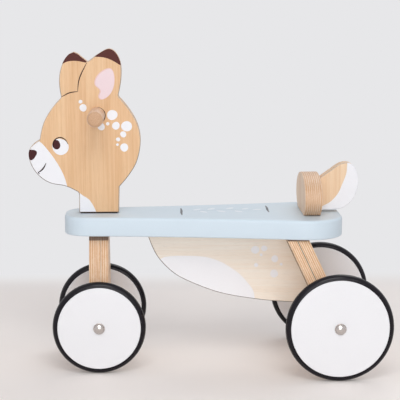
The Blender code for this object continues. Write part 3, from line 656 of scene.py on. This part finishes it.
def rim_tone_and_shade():
    """The rounded rims' grey-brown colour with painted shade: darker on rims that face down, lighter on rims
    that face up.
    """
    material, tree, shader, place = new_material("rim_tone_and_shade")
    upward = split(tree, place["Normal"])["Z"]
    colour = mixed(tree, ramp(tree, upward, *RIM_SHADE_TURN), seen(RIM_SHADE_BELOW), seen(RIM_LIT_ABOVE))
    blotches = spread(tree, noise(tree, place["Object"], 90.0, detail=3.0), 0.9, 1.0)
    wire(tree, shader, {
        "Base Color": combine(tree, "MULTIPLY", colour, blotches),
        "Roughness": RIM_ROUGHNESS, "Specular IOR Level": RIM_GLOSS,
    })
    return material


RIM_TONE_AND_SHADE = rim_tone_and_shade()


def rim_faces(thing):
    """The faces of an upright board's rounded rims."""
    return [f for f in thing.data.polygons if RIM_NORMALS[0] < abs(f.normal.y) < RIM_NORMALS[1]]


def plate(part, along, light, dark, lift=0.0):
    """The upright plywood board of a part of the toy, from its packed plate, with grey-brown painted
    shade on its rims. Gives the piece, its outline and half its thickness. Its foot can stop a little short."""
    low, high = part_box(part + "_plate")
    outline = softened(rim_of(part + "_plate", 1, low.y + PACKED_ROUNDING))
    for point in outline:
        point.y = max(point.y, low.z + lift)
    material = plywood(part + "_ply", (low + high) / 2.0, along, ASIDE, high.y, light, dark)
    roundings = (PLATE_EDGE_ROUNDING, PLATE_EDGE_ROUNDING)
    thing = board(part + "_board", outline, "XZ", (low.y, high.y), roundings, material)
    # The rims take the grey-brown colour with painted shade.
    thing.data.materials.append(RIM_TONE_AND_SHADE)
    for face in rim_faces(thing):
        face.material_index = 1
    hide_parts(part + "_plate")
    return thing, outline, high.y


def drawn_curve(points, step=1.5):
    """An open smooth line through the points, which are in millimetres, with finer points."""
    spots = [flat(*point) for point in points]
    line = []
    for i in range(len(spots) - 1):
        here, there = spots[i], spots[i + 1]
        chord = (there - here).length
        leave = there - (spots[i - 1] if i else here)
        reach = (spots[i + 2] if i + 2 < len(spots) else there) - here
        first, second = [way.normalized() * chord / 3.0 for way in (leave, reach)]
        steps = max(2, round(chord / step))
        line += interpolate_bezier(here, here + first, there - second, there, steps + 1)[:-1]
    return line + [spots[-1]]


def patch(edge, beyond):
    """A printed patch with one drawn edge. The rest of its outline runs outside the board."""
    return drawn_curve(edge) + [flat(*point) for point in beyond]


def angles_round(steps):
    """The angles of so many points round a circle."""
    return [math.tau * i / steps for i in range(steps)]


def spot(a, b, across, tall=None):
    """A hand-printed round spot, never quite a circle."""
    tall = across if tall is None else tall
    outline = []
    for angle in angles_round(SPOT_STEPS):
        wobble = SPOT_WOBBLE[0] * math.sin(2.0 * angle + a) + SPOT_WOBBLE[1] * math.sin(3.0 * angle + b)
        x = a + across * (1.0 + wobble) * math.cos(angle)
        y = b + tall * (1.0 + wobble) * math.sin(angle)
        outline.append(flat(x, y))
    return outline


def print_prism(name, outlines, plane, levels, material):
    """Closed outlines, in metres, as one thin layer between two levels."""
    builder = bmesh.new()
    for outline in outlines:
        shell(builder, [placed(plane, outline, level) for level in levels])
    return finished(name, builder, material, PRINT_SHARP_TURN)


def trimmed(thing, cutter, operation):
    """Cuts the thing's mesh by the cutter, which is then thrown away."""
    modifier = thing.modifiers.new("trim", "BOOLEAN")
    modifier.operation = operation
    modifier.solver = "EXACT"
    modifier.object = cutter
    bpy.context.view_layer.update()
    shaped = bpy.data.meshes.new_from_object(thing.evaluated_get(bpy.context.evaluated_depsgraph_get()))
    thing.modifiers.clear()
    shaped.shade_smooth()
    shaped.set_sharp_from_angle(angle=PRINT_SHARP_TURN)
    thing.data = shaped
    bpy.data.objects.remove(cutter, do_unlink=True)


def within(outline, a, b):
    """Whether a place lies inside a closed outline."""
    crossings = 0
    for here, there in zip(outline, outline[1:] + outline[:1]):
        if (here.y > b) != (there.y > b):
            crossings += a < here.x + (b - here.y) / (there.y - here.y) * (there.x - here.x)
    return crossings % 2 == 1


def edge_print(thing, outlines, material):
    """Carries a print over the board's rounded rims, wherever they pass through its outlines."""
    thing.data.materials.append(material)
    for face in rim_faces(thing):
        if any(within(o, face.center.x, face.center.z) for o in outlines):
            face.material_index = len(thing.data.materials) - 1


def side_print(name, outlines, material, half, body, origin, limit=None, thing=None):
    """A print on both faces of an upright board. Its outlines are in millimetres from the origin.
    It is cut to the board's outline if that is given, and goes over the rims of a board given."""
    moved = [[flat(origin[0] + p.x * MM, origin[1] + p.y * MM) for p in o] for o in outlines]
    if thing is not None:
        edge_print(thing, moved, material)
    for side, sign in (("left", -1.0), ("right", 1.0)):
        levels = sorted((sign * (half - PRINT_SUNK), sign * (half + PRINT_PROUD)))
        layer = print_prism(name + "_" + side, moved, "XZ", levels, material)
        if limit is not None:
            face = drawn_in(limit, PLATE_EDGE_ROUNDING)
            keeper = print_prism("face", [face], "XZ", (levels[0] - MM, levels[1] + MM), material)
            trimmed(layer, keeper, "INTERSECT")
        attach(layer, body)


steering_x = middle_and_half("steering_column")[0].x
floor_origin = (steering_x, 0.0)
belly, belly_outline, belly_half = plate("belly", BACKWARD, BELLY_LIGHT, BELLY_DARK)
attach(belly, "frame")
belly_white = painted("belly_white_print", BELLY_WHITE, clouds=0.03, skin=PRINT_SKIN)
side_print("belly_patch", [patch(BELLY_PATCH, BELLY_PATCH_BELOW)], belly_white, belly_half, "frame",
           floor_origin, belly_outline)
side_print("belly_spots", [spot(*values) for values in BELLY_SPOTS], belly_white, belly_half, "frame",
           floor_origin)

# The print on the seat: a plain sprig of paired leaves along the middle of the plank, with a short
# dark twig at each end. It is inked on the blue paint and lies a tenth of a millimetre proud.
LEAF_WHITE = (229, 237, 243)
STEM_GREY = (184, 197, 208)
TWIG_DARK = (40, 42, 52)
STEM_WIDTH = 1.8
STEM_PROUD = 0.6
TWIG_WIDTH = 3.3
LINE_END = 0.35
LEAF_STEPS = 28
LEAF_TAPER = 0.35
STEM = ((131.0, 5.0), (147.0, 9.0), (165.0, 12.0), (183.0, 15.0), (201.0, 11.0), (217.0, 12.0))
# A leaf's place, in millimetres behind the steering axis and to the toy's right, its half length,
# its half breadth and its lean in degrees.
LEAVES = (
    (139.0, 17.0, 8.0, 3.8, 50.0), (148.0, -1.5, 8.0, 3.8, -55.0), (160.0, 22.0, 9.0, 4.2, 58.0),
    (173.0, 2.0, 9.0, 4.2, -52.0), (187.0, 26.0, 9.0, 4.2, 55.0), (198.0, 0.0, 8.0, 3.8, -50.0),
    (209.0, 22.0, 7.0, 3.4, 48.0), (226.0, 15.0, 7.0, 3.4, 20.0),
)
TWIGS = (
    ((116.6, -27.0), (116.2, -9.0), (116.6, 10.0), (116.1, 29.0)),
    ((240.9, -8.0), (240.5, 10.0), (241.0, 28.0), (240.6, 46.0)),
)


def brush_line(points, width):
    """A drawn line that narrows to both ends, as a closed outline."""
    line = drawn_curve(points, 1.0)
    left, right = [], []
    for i, here in enumerate(line):
        way = (line[min(i + 1, len(line) - 1)] - line[max(i - 1, 0)]).normalized()
        half = width / 2.0 * (LINE_END + (1.0 - LINE_END) * math.sin(math.pi * i / (len(line) - 1)))
        aside = flat(-way.y, way.x) * half
        left.append(here + aside)
        right.append(here - aside)
    return left + right[::-1]


def leaf(a, b, length, breadth, lean):
    """A pointed oval leaf."""
    turn = math.radians(lean)
    outline = []
    for angle in angles_round(LEAF_STEPS):
        along = length * math.cos(angle)
        aside = breadth * math.sin(angle) * (1.0 - LEAF_TAPER * math.cos(angle) ** 2)
        x = a + along * math.cos(turn) - aside * math.sin(turn)
        y = b + along * math.sin(turn) + aside * math.cos(turn)
        outline.append(flat(x, y))
    return outline


def seat_print(name, outlines, colour, proud):
    """Ink on the seat's top, from outlines in millimetres behind the steering axis and to the right."""
    moved = [[flat(steering_x + p.x * MM, p.y * MM) for p in o] for o in outlines]
    levels = (seat_high.z - PRINT_SUNK, seat_high.z + proud)
    ink = painted(name, colour, clouds=0.06, skin=0.00002, dullness=0.8)
    layer = print_prism(name, moved, "XY", levels, ink)
    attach(layer, "frame")


seat_print("seat_stem", [brush_line(STEM, STEM_WIDTH)], STEM_GREY, PRINT_PROUD * STEM_PROUD)
seat_print("seat_leaves", [leaf(*values) for values in LEAVES], LEAF_WHITE, PRINT_PROUD)
seat_print("seat_twigs", [brush_line(line, TWIG_WIDTH) for line in TWIGS], TWIG_DARK, PRINT_PROUD)

# The backrest: a low panel of thick plywood across the plank, its top rounded over. Two screws
# hold it from under the plank, and its sawn sides show the stack of veneers.
BACKREST_LIGHT = (229, 202, 173)
BACKREST_DARK = (207, 160, 120)
BACKREST_FACE = 1.22
rest_low, rest_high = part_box("backrest")
rest_middle, rest_half = middle_and_half("backrest")
backrest = board(
    "backrest_board", softened(rim_of("backrest", 0, rest_low.x + PACKED_ROUNDING)), "YZ",
    (rest_low.x, rest_high.x), (PLATE_EDGE_ROUNDING, PLATE_EDGE_ROUNDING),
    plywood("backrest_ply", rest_middle, UP, BACKWARD, rest_half.x, BACKREST_LIGHT, BACKREST_DARK,
            face=BACKREST_FACE),
)
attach(backrest, "frame")
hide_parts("backrest")

# The tail: a leaf of plywood dowelled to the back of the backrest. Its grain stands upright and its
# lower half is printed white on both faces.
TAIL_LIGHT = (240, 212, 180)
TAIL_DARK = (222, 182, 138)
PRINT_WHITE = (236, 236, 239)
# The edge of the white, in millimetres behind the steering axis and above the floor.
TAIL_WHITE = (
    (352.0, 292.0), (351.5, 284.0), (350.5, 272.2), (344.7, 256.4), (338.9, 243.4), (328.7, 232.0),
    (317.1, 225.6), (305.0, 221.0),
)
TAIL_WHITE_BELOW = ((305.0, 214.0), (380.0, 214.0), (380.0, 292.0))
tail, tail_outline, tail_half = plate("tail", UP, TAIL_LIGHT, TAIL_DARK)
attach(tail, "frame")
white_print = painted("white_print", PRINT_WHITE, clouds=0.03, skin=PRINT_SKIN)
side_print("tail_white", [patch(TAIL_WHITE, TAIL_WHITE_BELOW)], white_print, tail_half, "frame",
           floor_origin, tail_outline, tail)

# The head: one plate of plywood with the grain upright, routed round the ears, muzzle and neck, and
# drilled for the handlebar. The face, ear tips and spots are printed on both sides. A steel column
# carries it, so it turns with the steering.
HEAD_LIGHT = (231, 193, 150)
HEAD_DARK = (211, 161, 112)
PRINT_BROWN = (84, 38, 32)
PRINT_DARK = (66, 24, 26)
PRINT_LINE = (44, 22, 20)
PRINT_PINK = (234, 212, 215)
PRINT_ROSE = (231, 196, 190)
NECK_LIFT = 0.0011
# The hole for the handlebar is a little wide, and the bar sits a little off its middle.
BAR_HOLE_GAP = 0.0006
BAR_HOLE_ASIDE = Vector((0.00042, 0.0, -0.00040))
BAR_STEPS = 64
# Places on the face, in millimetres behind the steering axis and above the foot of the neck.
MUZZLE = (
    (-86.0, 108.0), (-83.2, 103.1), (-79.7, 100.2), (-71.2, 90.2), (-62.8, 78.7), (-54.3, 64.4),
    (-48.6, 51.5), (-45.1, 39.3), (-43.5, 32.0),
)
MUZZLE_BELOW = ((-45.0, 25.0), (-110.0, 25.0), (-110.0, 108.0))
CHEST = (
    (-36.0, 33.0), (-28.8, 29.9), (-23.1, 25.5), (-14.6, 19.7), (-8.9, 11.1), (-4.6, 1.5), (-4.0, -4.0),
)
CHEST_BELOW = ((-40.0, -4.0), (-40.0, 33.0))
LEFT_TIP = ((-56.0, 207.0), (-48.6, 211.2), (-40.1, 214.6), (-28.8, 215.0), (-16.0, 212.5))
LEFT_TIP_ABOVE = ((-15.5, 236.0), (-60.0, 236.0))
RIGHT_TIP = ((-12.0, 220.0), (-6.1, 220.6), (8.2, 219.9), (19.5, 216.0), (32.3, 208.3), (38.0, 204.0))
RIGHT_TIP_ABOVE = ((44.0, 240.0), (-12.0, 240.0))
EAR_BROW = ((-51.1, 164.9), (-40.1, 170.5), (-28.3, 172.6))
EAR_FOLD = ((-28.3, 172.6), (-26.6, 186.9), (-22.4, 198.3), (-14.9, 212.5))
INNER_EAR = (
    (18.1, 204.5), (23.1, 193.8), (21.7, 178.1), (15.3, 166.7), (4.6, 161.0), (0.3, 165.3),
    (2.5, 173.9), (-4.6, 182.5), (-2.5, 192.5), (6.7, 201.7),
)
INNER_EAR_INSET = 0.9
INNER_EAR_SHIFT = flat(0.5, -0.4)
HEAD_SPOTS = (
    (-24.5, 158.3, 2.6), (-21.0, 149.7, 5.1), (19.5, 139.5, 7.2), (13.1, 127.2, 2.4),
    (24.5, 124.4, 5.4), (39.5, 123.6, 7.4), (34.7, 112.2, 4.3), (3.9, 123.1, 5.1),
    (27.4, 105.1, 2.9), (26.4, 97.7, 1.9), (35.9, 93.6, 5.7),
)
EYE_WHITE = (-53.6, 94.9, 11.5)
PUPIL = (-59.2, 97.9, 5.6, 6.6)
LASH = ((-64.0, 94.0), (-63.2, 102.0), (-58.5, 106.8), (-52.5, 107.9), (-47.0, 105.2), (-42.6, 98.6))
NOSE = (
    (-99.5, 87.5), (-98.4, 90.4), (-90.3, 90.6), (-86.6, 87.6), (-88.9, 81.2), (-94.6, 76.2),
    (-99.0, 79.0),
)
SMILE = ((-85.8, 58.6), (-81.5, 61.2), (-77.6, 65.3), (-74.1, 71.9))
CHEEK_TICK = ((-85.6, 59.0), (-83.4, 56.6))
# The widths of the drawn lines, in millimetres.
EAR_LINE = 1.5
LASH_LINE = 1.5
SMILE_LINE = 2.1
TICK_LINE = 1.3


def closed_curve(points):
    """A smooth closed outline through the points."""
    count = len(points)
    line = drawn_curve([points[i % count] for i in range(-2, count + 3)])
    first = flat(*points[0])
    ends = [i for i, p in enumerate(line) if (p - first).length < MM]
    return line[ends[0]:ends[1]]


def head_print(name, outlines, ink, over=0.0, limit=None, thing=None):
    """A print on both faces of the head, or over another print there."""
    origin = (steering_x, head_low.z)
    side_print(name, outlines, ink, head_half + over, "steering", origin, limit, thing)


head_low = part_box("head_plate")[0]
head, head_outline, head_half = plate("head", UP, HEAD_LIGHT, HEAD_DARK, NECK_LIFT)
bar_middle, bar_half = middle_and_half("handlebar")
hole_radius = bar_half.z + BAR_HOLE_GAP
hole_middle = bar_middle + BAR_HOLE_ASIDE
hole = [
    flat(hole_middle.x + hole_radius * math.cos(t), hole_middle.z + hole_radius * math.sin(t))
    for t in angles_round(BAR_STEPS)
]
drill = print_prism("bar_hole", [hole], "XZ", (-2.0 * head_half, 2.0 * head_half), head.data.materials[0])
trimmed(head, drill, "DIFFERENCE")
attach(head, "steering")

brown_print = painted("brown_print", PRINT_BROWN, clouds=0.10, skin=PRINT_SKIN, gloss=0.2)
dark_print = painted("dark_print", PRINT_DARK, clouds=0.10, skin=PRINT_SKIN, gloss=0.2)
line_print = painted("line_print", PRINT_LINE, clouds=0.10, skin=0.00002, gloss=0.2)
pink_print = painted("pink_print", PRINT_PINK, clouds=0.05, skin=PRINT_SKIN, gloss=0.3)
rose_print = painted("rose_print", PRINT_ROSE, clouds=0.05, skin=PRINT_SKIN, gloss=0.3)
ear_rim = closed_curve(INNER_EAR)
inner_ear = [p + INNER_EAR_SHIFT for p in drawn_in(ear_rim[::-1], INNER_EAR_INSET)]
ear_lines = [brush_line(line, EAR_LINE) for line in (EAR_BROW, EAR_FOLD)]
smile_lines = [brush_line(SMILE, SMILE_LINE), brush_line(CHEEK_TICK, TICK_LINE)]
head_print("muzzle", [patch(MUZZLE, MUZZLE_BELOW)], white_print, limit=head_outline)
head_print("chest", [patch(CHEST, CHEST_BELOW)], white_print, limit=head_outline)
head_print("left_ear_tip", [patch(LEFT_TIP, LEFT_TIP_ABOVE)], brown_print, limit=head_outline, thing=head)
head_print("right_ear_tip", [patch(RIGHT_TIP, RIGHT_TIP_ABOVE)], brown_print, limit=head_outline, thing=head)
head_print("inner_ear_rim", [ear_rim], rose_print)
head_print("inner_ear", [inner_ear], pink_print, over=PRINT_PROUD)
head_print("head_spots", [spot(*values) for values in HEAD_SPOTS], white_print)
head_print("eye_white", [spot(*EYE_WHITE)], white_print)
head_print("ear_lines", ear_lines, line_print)
head_print("pupil", [spot(*PUPIL)], dark_print, over=PRINT_PROUD)
head_print("lash", [brush_line(LASH, LASH_LINE)], line_print, over=PRINT_PROUD)
head_print("nose", [closed_curve(NOSE)], dark_print, over=PRINT_PROUD, limit=head_outline, thing=head)
head_print("smile", smile_lines, line_print, over=PRINT_PROUD)

# The strip under the neck: a thin dark sheet at the neck's foot, painted shade that stands for the dark
# gap between the turning head and the seat's paint.
PAD_INSET = 0.0008
PAD_ROUNDING = 0.0003
# The strip's dark colour is painted shade for the gap under the neck.
NECK_GAP_SHADE = (50, 38, 36)
neck_ends = [point.x for point in head_outline if point.y < head_low.z + NECK_LIFT + SAME_PLACE]
pad_front, pad_back = min(neck_ends) + PAD_INSET, max(neck_ends) - PAD_INSET
pad_side = head_half - PAD_INSET
pad_outline = [
    flat(pad_front, -pad_side), flat(pad_back, -pad_side),
    flat(pad_back, pad_side), flat(pad_front, pad_side),
]
pad = board(
    "neck_shade_strip", pad_outline, "XY", (seat_high.z + PRINT_SUNK, head_low.z + NECK_LIFT - PRINT_SUNK),
    (PAD_ROUNDING, PAD_ROUNDING),
    painted("neck_gap_shade", NECK_GAP_SHADE, clouds=0.4, skin=0.0002, gloss=0.1, dullness=2.0), steps=2,
)
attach(pad, "steering")

# The handlebar: a turned beech dowel pushed through the head and glued, its ends rounded over.
# A dark ring in the slack of its hole, just under both faces of the head, is painted shade in the gap.
BEECH_LIGHT = (238, 208, 182)
BEECH_DARK = (214, 172, 140)
BEECH_HEART = (0.0, 0.021, -0.016)
BEECH_RINGS = 620.0
BEECH_RING_DRIFT = 1.6
BEECH_RING_TONE = 0.35
BEECH_LINE_TONE = 0.5
BEECH_ROUGHNESS = (0.40, 0.52)
BEECH_RELIEF = 0.00010
END_GRAIN = (222, 208, 190)
END_NORMALS = (0.35, 0.80)
BAR_END_ROUNDING = 0.0045
# The dark ring in the handlebar's hole is painted shade, and sits this far under each face.
HOLE_SHADE_BROWN = (46, 30, 26)
HOLE_SHADE_BELOW_FACE = 0.0005


def turned(name, profile, centre, outward, material, steps):
    """A piece turned about an axis level with Y. The profile's points are radius and height along
    the outward way. It is a closed ring unless it starts and ends on the axis."""
    builder = bmesh.new()
    rings = []
    for radius, height in profile:
        y = centre.y + outward * height
        if radius == 0.0:
            rings.append([builder.verts.new((centre.x, y, centre.z))] * steps)
            continue
        rings.append([
            builder.verts.new((centre.x + radius * math.cos(t), y, centre.z + radius * math.sin(t)))
            for t in angles_round(steps)
        ])
    if profile[0][0] > 0.0:
        rings.append(rings[0])
    for first, second in zip(rings, rings[1:]):
        band(builder, first, second)
    return finished(name, builder, material)


def arc(centre_radius, centre_height, radius, start, end, steps=6):
    """Points of an arc in a profile, its angles in degrees."""
    turn = [math.radians(start + (end - start) * i / steps) for i in range(steps + 1)]
    return [(centre_radius + radius * math.cos(t), centre_height + radius * math.sin(t)) for t in turn]


def mirrored(profile):
    """Half a profile with its own reflection after it, for a piece that is alike at both ends."""
    return profile + [(radius, -height) for radius, height in reversed(profile)]


def solid_wood_group():
    """Close solid wood with its grain along X: fine lines, short dark flecks, and the growth rings
    of a tree whose heart lies outside the piece."""
    group, given, made = start_group("solid_wood", Place="Vector", Light="Color", Dark="Color")
    lines = noise(group, given["Place"], (14.0, 520.0, 520.0), detail=3.0, roughness=0.6)
    flecks = noise(group, given["Place"], (260.0, 1700.0, 1700.0), detail=1.0)
    drift = noise(group, given["Place"], (5.0, 60.0, 60.0), detail=1.0)
    from_heart = combine(group, "SUBTRACT", given["Place"], BEECH_HEART)
    reach = combine(group, "LENGTH", combine(group, "MULTIPLY", from_heart, (0.0, 1.0, 1.0)))
    waves = work_out(group, "MULTIPLY", drift, BEECH_RING_DRIFT)
    waves = work_out(group, "MULTIPLY_ADD", reach, BEECH_RINGS, waves)
    rings = work_out(group, "FRACT", waves)
    tone = work_out(group, "MULTIPLY", ramp(group, rings, 0.1, 0.95), BEECH_RING_TONE)
    tone = work_out(group, "MULTIPLY_ADD", spread(group, lines), BEECH_LINE_TONE, tone)
    colour = mixed(group, tone, given["Light"], given["Dark"])
    wire(group, made, {
        "Color": combine(group, "MULTIPLY", colour, ramp(group, flecks, 0.28, 0.42, 0.80, 1.0)),
        "Roughness": spread(group, lines, *BEECH_ROUGHNESS), "Height": lines,
    })
    return group


SOLID_WOOD = solid_wood_group()


def beech(name, middle):
    """Lacquered beech with its grain along the toy's width, round a middle line. Its ends are darker."""
    material, tree, shader, place = new_material(name)
    axes = split(tree, combine(tree, "SUBTRACT", place["Object"], middle))
    wood = use_group(tree, SOLID_WOOD, {
        "Place": join(tree, axes["Y"], axes["X"], axes["Z"]),
        "Light": seen(BEECH_LIGHT), "Dark": seen(BEECH_DARK),
    })
    facing = work_out(tree, "ABSOLUTE", split(tree, place["Normal"])["Y"])
    end = mixed(tree, ramp(tree, facing, *END_NORMALS), WHITE, seen(END_GRAIN))
    wire(tree, shader, {
        "Base Color": combine(tree, "MULTIPLY", wood["Color"], end), "Roughness": wood["Roughness"],
        "Normal": relief(tree, wood["Height"], BEECH_RELIEF, strength=0.4),
    })
    return material


bar_end = [(0.0, -bar_half.y)]
bar_end += arc(bar_half.z - BAR_END_ROUNDING, BAR_END_ROUNDING - bar_half.y, BAR_END_ROUNDING, -90, 0)
bar_beech = beech("bar_beech", bar_middle)
bar = turned("handlebar_dowel", mirrored(bar_end), bar_middle, 1.0, bar_beech, BAR_STEPS)
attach(bar, "steering")
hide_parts("handlebar")

# Painted shade: a dark ring in the slack of the hole, just under both faces of the head.
shade_low = HOLE_SHADE_BELOW_FACE - head_half
shade_end = [(bar_half.z - BAR_HOLE_GAP, shade_low), (hole_radius + PRINT_SUNK, shade_low)]
hole_shade_brown = glue_and_shade_paint("bar_hole_shade", HOLE_SHADE_BROWN)
bar_hole_shade = turned("bar_hole_shade", mirrored(shade_end), hole_middle, 1.0, hole_shade_brown, BAR_STEPS)
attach(bar_hole_shade, "steering")

# The steering and fixings: steel column and axles, nylon bushes, zinc-plated pins, screws and
# washers, and beech dowels. Most of it is pressed, screwed or glued out of sight in the wood. All
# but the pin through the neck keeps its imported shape.
STEEL_GREY = (176, 172, 170)
ZINC_GREY = (186, 189, 194)
NYLON_WHITE = (232, 229, 222)
NYLON_ROUGHNESS = (0.38, 0.5)
NYLON_MILKINESS = 0.08
METAL_RELIEF = 0.00003


def darker(colour, share):
    """A colour with each part brought down to a share of itself."""
    return [part * share for part in colour]


def metal(name, colour, roughness, streak):
    """Bare or plated metal, its sheen broken by fine drawing marks of a given stretch."""
    material, tree, shader, place = new_material(name)
    marks = noise(tree, place["Object"], streak, detail=3.0, roughness=0.6)
    wire(tree, shader, {
        "Base Color": mixed(tree, spread(tree, marks), seen(colour), seen(darker(colour, 0.9))),
        "Roughness": spread(tree, marks, roughness, roughness * 1.5), "Metallic": 1.0,
        "Normal": relief(tree, marks, METAL_RELIEF, strength=0.3),
    })
    return material


def nylon(name):
    """Natural nylon, milky and a little cloudy."""
    material, tree, shader, place = new_material(name)
    clouds = noise(tree, place["Object"], 120.0)
    wire(tree, shader, {
        "Base Color": mixed(tree, clouds, seen(NYLON_WHITE), seen(darker(NYLON_WHITE, 0.94))),
        "Roughness": spread(tree, clouds, *NYLON_ROUGHNESS), "Subsurface Weight": NYLON_MILKINESS,
    })
    return material


steel_rod = metal("drawn_steel", STEEL_GREY, roughness=0.24, streak=(900.0, 60.0, 900.0))
zinc_plate = metal("zinc_plate", ZINC_GREY, roughness=0.34, streak=700.0)
bush_nylon = nylon("bush_nylon")
dowel_beech = beech("dowel_beech", (0.0, 0.0, 0.0))
for name in nodes:
    if name in ("steering_column", "front_axle", "rear_axle"):
        refinish(name, steel_rod)
    elif name.endswith(("_pin", "_peg", "_washer")) or "_screw_" in name:
        refinish(name, zinc_plate)
    elif "_bush" in name:
        refinish(name, bush_nylon)
    elif "_dowel_" in name:
        refinish(name, dowel_beech)

# The pin through the neck and the column: a plated steel rod with domed ends, driven in from the
# front edge of the neck, where its end just shows.
PIN_DOME = 0.0003
PIN_STEPS = 32
# Points of the domed end, as shares of the pin's radius and of the dome's height.
PIN_END = ((0.0, 1.0), (0.55, 0.75), (0.88, 0.25), (1.0, -1.0))
pin_middle, pin_half = middle_and_half("neck_pin")
pin_end = [(pin_half.z * out, -pin_half.x - PIN_DOME * rise) for out, rise in PIN_END]
neck_rod = turned("neck_rod", mirrored(pin_end), Vector((0.0, 0.0, 0.0)), 1.0, zinc_plate, PIN_STEPS)
neck_rod.data.transform(Matrix.Translation(pin_middle) @ Matrix.Rotation(-math.pi / 2.0, 4, "Z"))
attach(neck_rod, "steering")
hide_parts("neck_pin")

# The wheels: turned wooden discs sprayed white, each with a black rubber tyre stretched round its
# rim. The front pair is smaller. A bright domed cap, pressed on the axle's end, holds each.
WHEEL_WHITE = (235, 235, 237)
TYRE_BLACK = (20, 16, 23)
TYRE_DUST = (50, 48, 54)
TYRE_ROUGHNESS = (0.17, 0.25)
TYRE_GLOSS = 0.24
TYRE_RELIEF = 0.00005
TYRE_DUST_SHARE = 0.6
CAP_BRIGHT = (208, 201, 197)
# Painted shade on the cap's flank, and the facings of the normal over which it fades in.
CAP_FLANK_SHADE = (128, 116, 110)
CAP_SHADE_FACING = (0.25, 0.72)
CAP_ROUGHNESS = (0.14, 0.24)
WHEEL_STEPS = 144
DISC_EDGE = 0.0008
DISC_FACE_EDGE = 0.004
FLANGE_REACH = 0.0022
TYRE_SHOULDER = 0.0066
TYRE_LIP = 0.0006
SEAM_HALF = 0.00025
SEAM_PROUD = 0.00012
CAP_STEPS = 64
CAP_FLANGE = 0.0007
CAP_DOME_RADIUS = 0.0071
CAP_DOME_STEPS = 10


def rubber():
    """Matt black rubber, with pale dust worn into the tread and a faint skin from the mould."""
    material, tree, shader, place = new_material("tyre_rubber")
    fine = noise(tree, place["Object"], 800.0)
    patches = noise(tree, place["Object"], 45.0, detail=4.0, roughness=0.6)
    dust = work_out(tree, "MULTIPLY", ramp(tree, patches, 0.5, 0.8), ramp(tree, fine, 0.4, 0.7))
    dust = work_out(tree, "MULTIPLY", dust, TYRE_DUST_SHARE)
    wire(tree, shader, {
        "Base Color": mixed(tree, dust, seen(TYRE_BLACK), seen(TYRE_DUST)),
        "Roughness": spread(tree, patches, *TYRE_ROUGHNESS), "Specular IOR Level": TYRE_GLOSS,
        "Normal": relief(tree, fine, TYRE_RELIEF, strength=0.5),
    })
    return material


def polished_steel():
    """Polished plated steel, with painted shade darkening the dome where it turns down into its flange."""
    material, tree, shader, place = new_material("bright_cap")
    marks = noise(tree, place["Object"], 500.0)
    bright = mixed(tree, marks, seen(CAP_BRIGHT), seen(darker(CAP_BRIGHT, 0.93)))
    # Painted shade: the dome darkens where its normal turns away from the axle's line.
    facing = work_out(tree, "ABSOLUTE", split(tree, place["Normal"])["Y"])
    flank = ramp(tree, facing, *CAP_SHADE_FACING, 1.0, 0.0)
    wire(tree, shader, {
        "Base Color": mixed(tree, flank, bright, seen(CAP_FLANK_SHADE)),
        "Roughness": spread(tree, marks, *CAP_ROUGHNESS), "Metallic": 1.0,
    })
    return material


def wheel(corner, body, outward):
    """One wheel's disc and tyre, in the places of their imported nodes."""
    centre, disc_half = middle_and_half(corner + "_wheel_disc")
    half, rim = disc_half.y, disc_half.z
    bore = middle_and_half(corner + "_hub_bush")[1].z - FLANGE_REACH
    disc_end = [(bore, -half), (rim - DISC_FACE_EDGE, -half)]
    disc_end += arc(rim - DISC_EDGE, DISC_EDGE - half, DISC_EDGE, -90, 0, 4)
    disc = turned(corner + "_disc", mirrored(disc_end), centre, outward, wheel_paint, WHEEL_STEPS)
    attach(disc, body)
    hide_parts(corner + "_wheel_disc")

    tyre_half = middle_and_half(corner + "_tyre")[1]
    side, radius = tyre_half.y, tyre_half.z
    crown, flank = radius - TYRE_SHOULDER - SEAM_PROUD, side - TYRE_SHOULDER
    tyre_side = arc(rim + TYRE_LIP, side - TYRE_LIP, TYRE_LIP, 180, 90, 3)
    tyre_side += arc(crown, flank, TYRE_SHOULDER, 90, 0, 10)
    tyre_side += [(radius - SEAM_PROUD, SEAM_HALF), (radius, SEAM_HALF / 2.0)]
    tyre = turned(corner + "_rubber", mirrored(tyre_side), centre, outward, tyre_rubber, WHEEL_STEPS)
    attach(tyre, body)
    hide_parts(corner + "_tyre")


def axle_cap(corner, body, outward):
    """The domed cap over the axle's end: a pressed dome on a thin rolled flange."""
    middle, half = middle_and_half(corner + "_axle_cap")
    foot = middle - ASIDE * outward * half.y
    edge, height = half.z - CAP_FLANGE / 2.0, 2.0 * half.y
    profile = [(0.0, 0.0), (edge, 0.0)] + arc(edge, CAP_FLANGE / 2.0, CAP_FLANGE / 2.0, -90, 90)
    for i in range(CAP_DOME_STEPS):
        t = math.pi / 2.0 * i / CAP_DOME_STEPS
        rise = (height - CAP_FLANGE) * math.sin(t)
        profile.append((CAP_DOME_RADIUS * math.cos(t), CAP_FLANGE + rise))
    profile.append((0.0, height))
    cap = turned(corner + "_cap", profile, foot, outward, cap_steel, CAP_STEPS)
    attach(cap, body)
    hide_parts(corner + "_axle_cap")


wheel_paint = painted("wheel_white_paint", WHEEL_WHITE, clouds=0.03)
tyre_rubber = rubber()
cap_steel = polished_steel()
for end, carrier in (("front", "steering"), ("rear", "frame")):
    for side, outward in (("left", -1.0), ("right", 1.0)):
        corner = end + "_" + side
        wheel(corner, corner + "_wheel", outward)
        axle_cap(corner, carrier, outward)
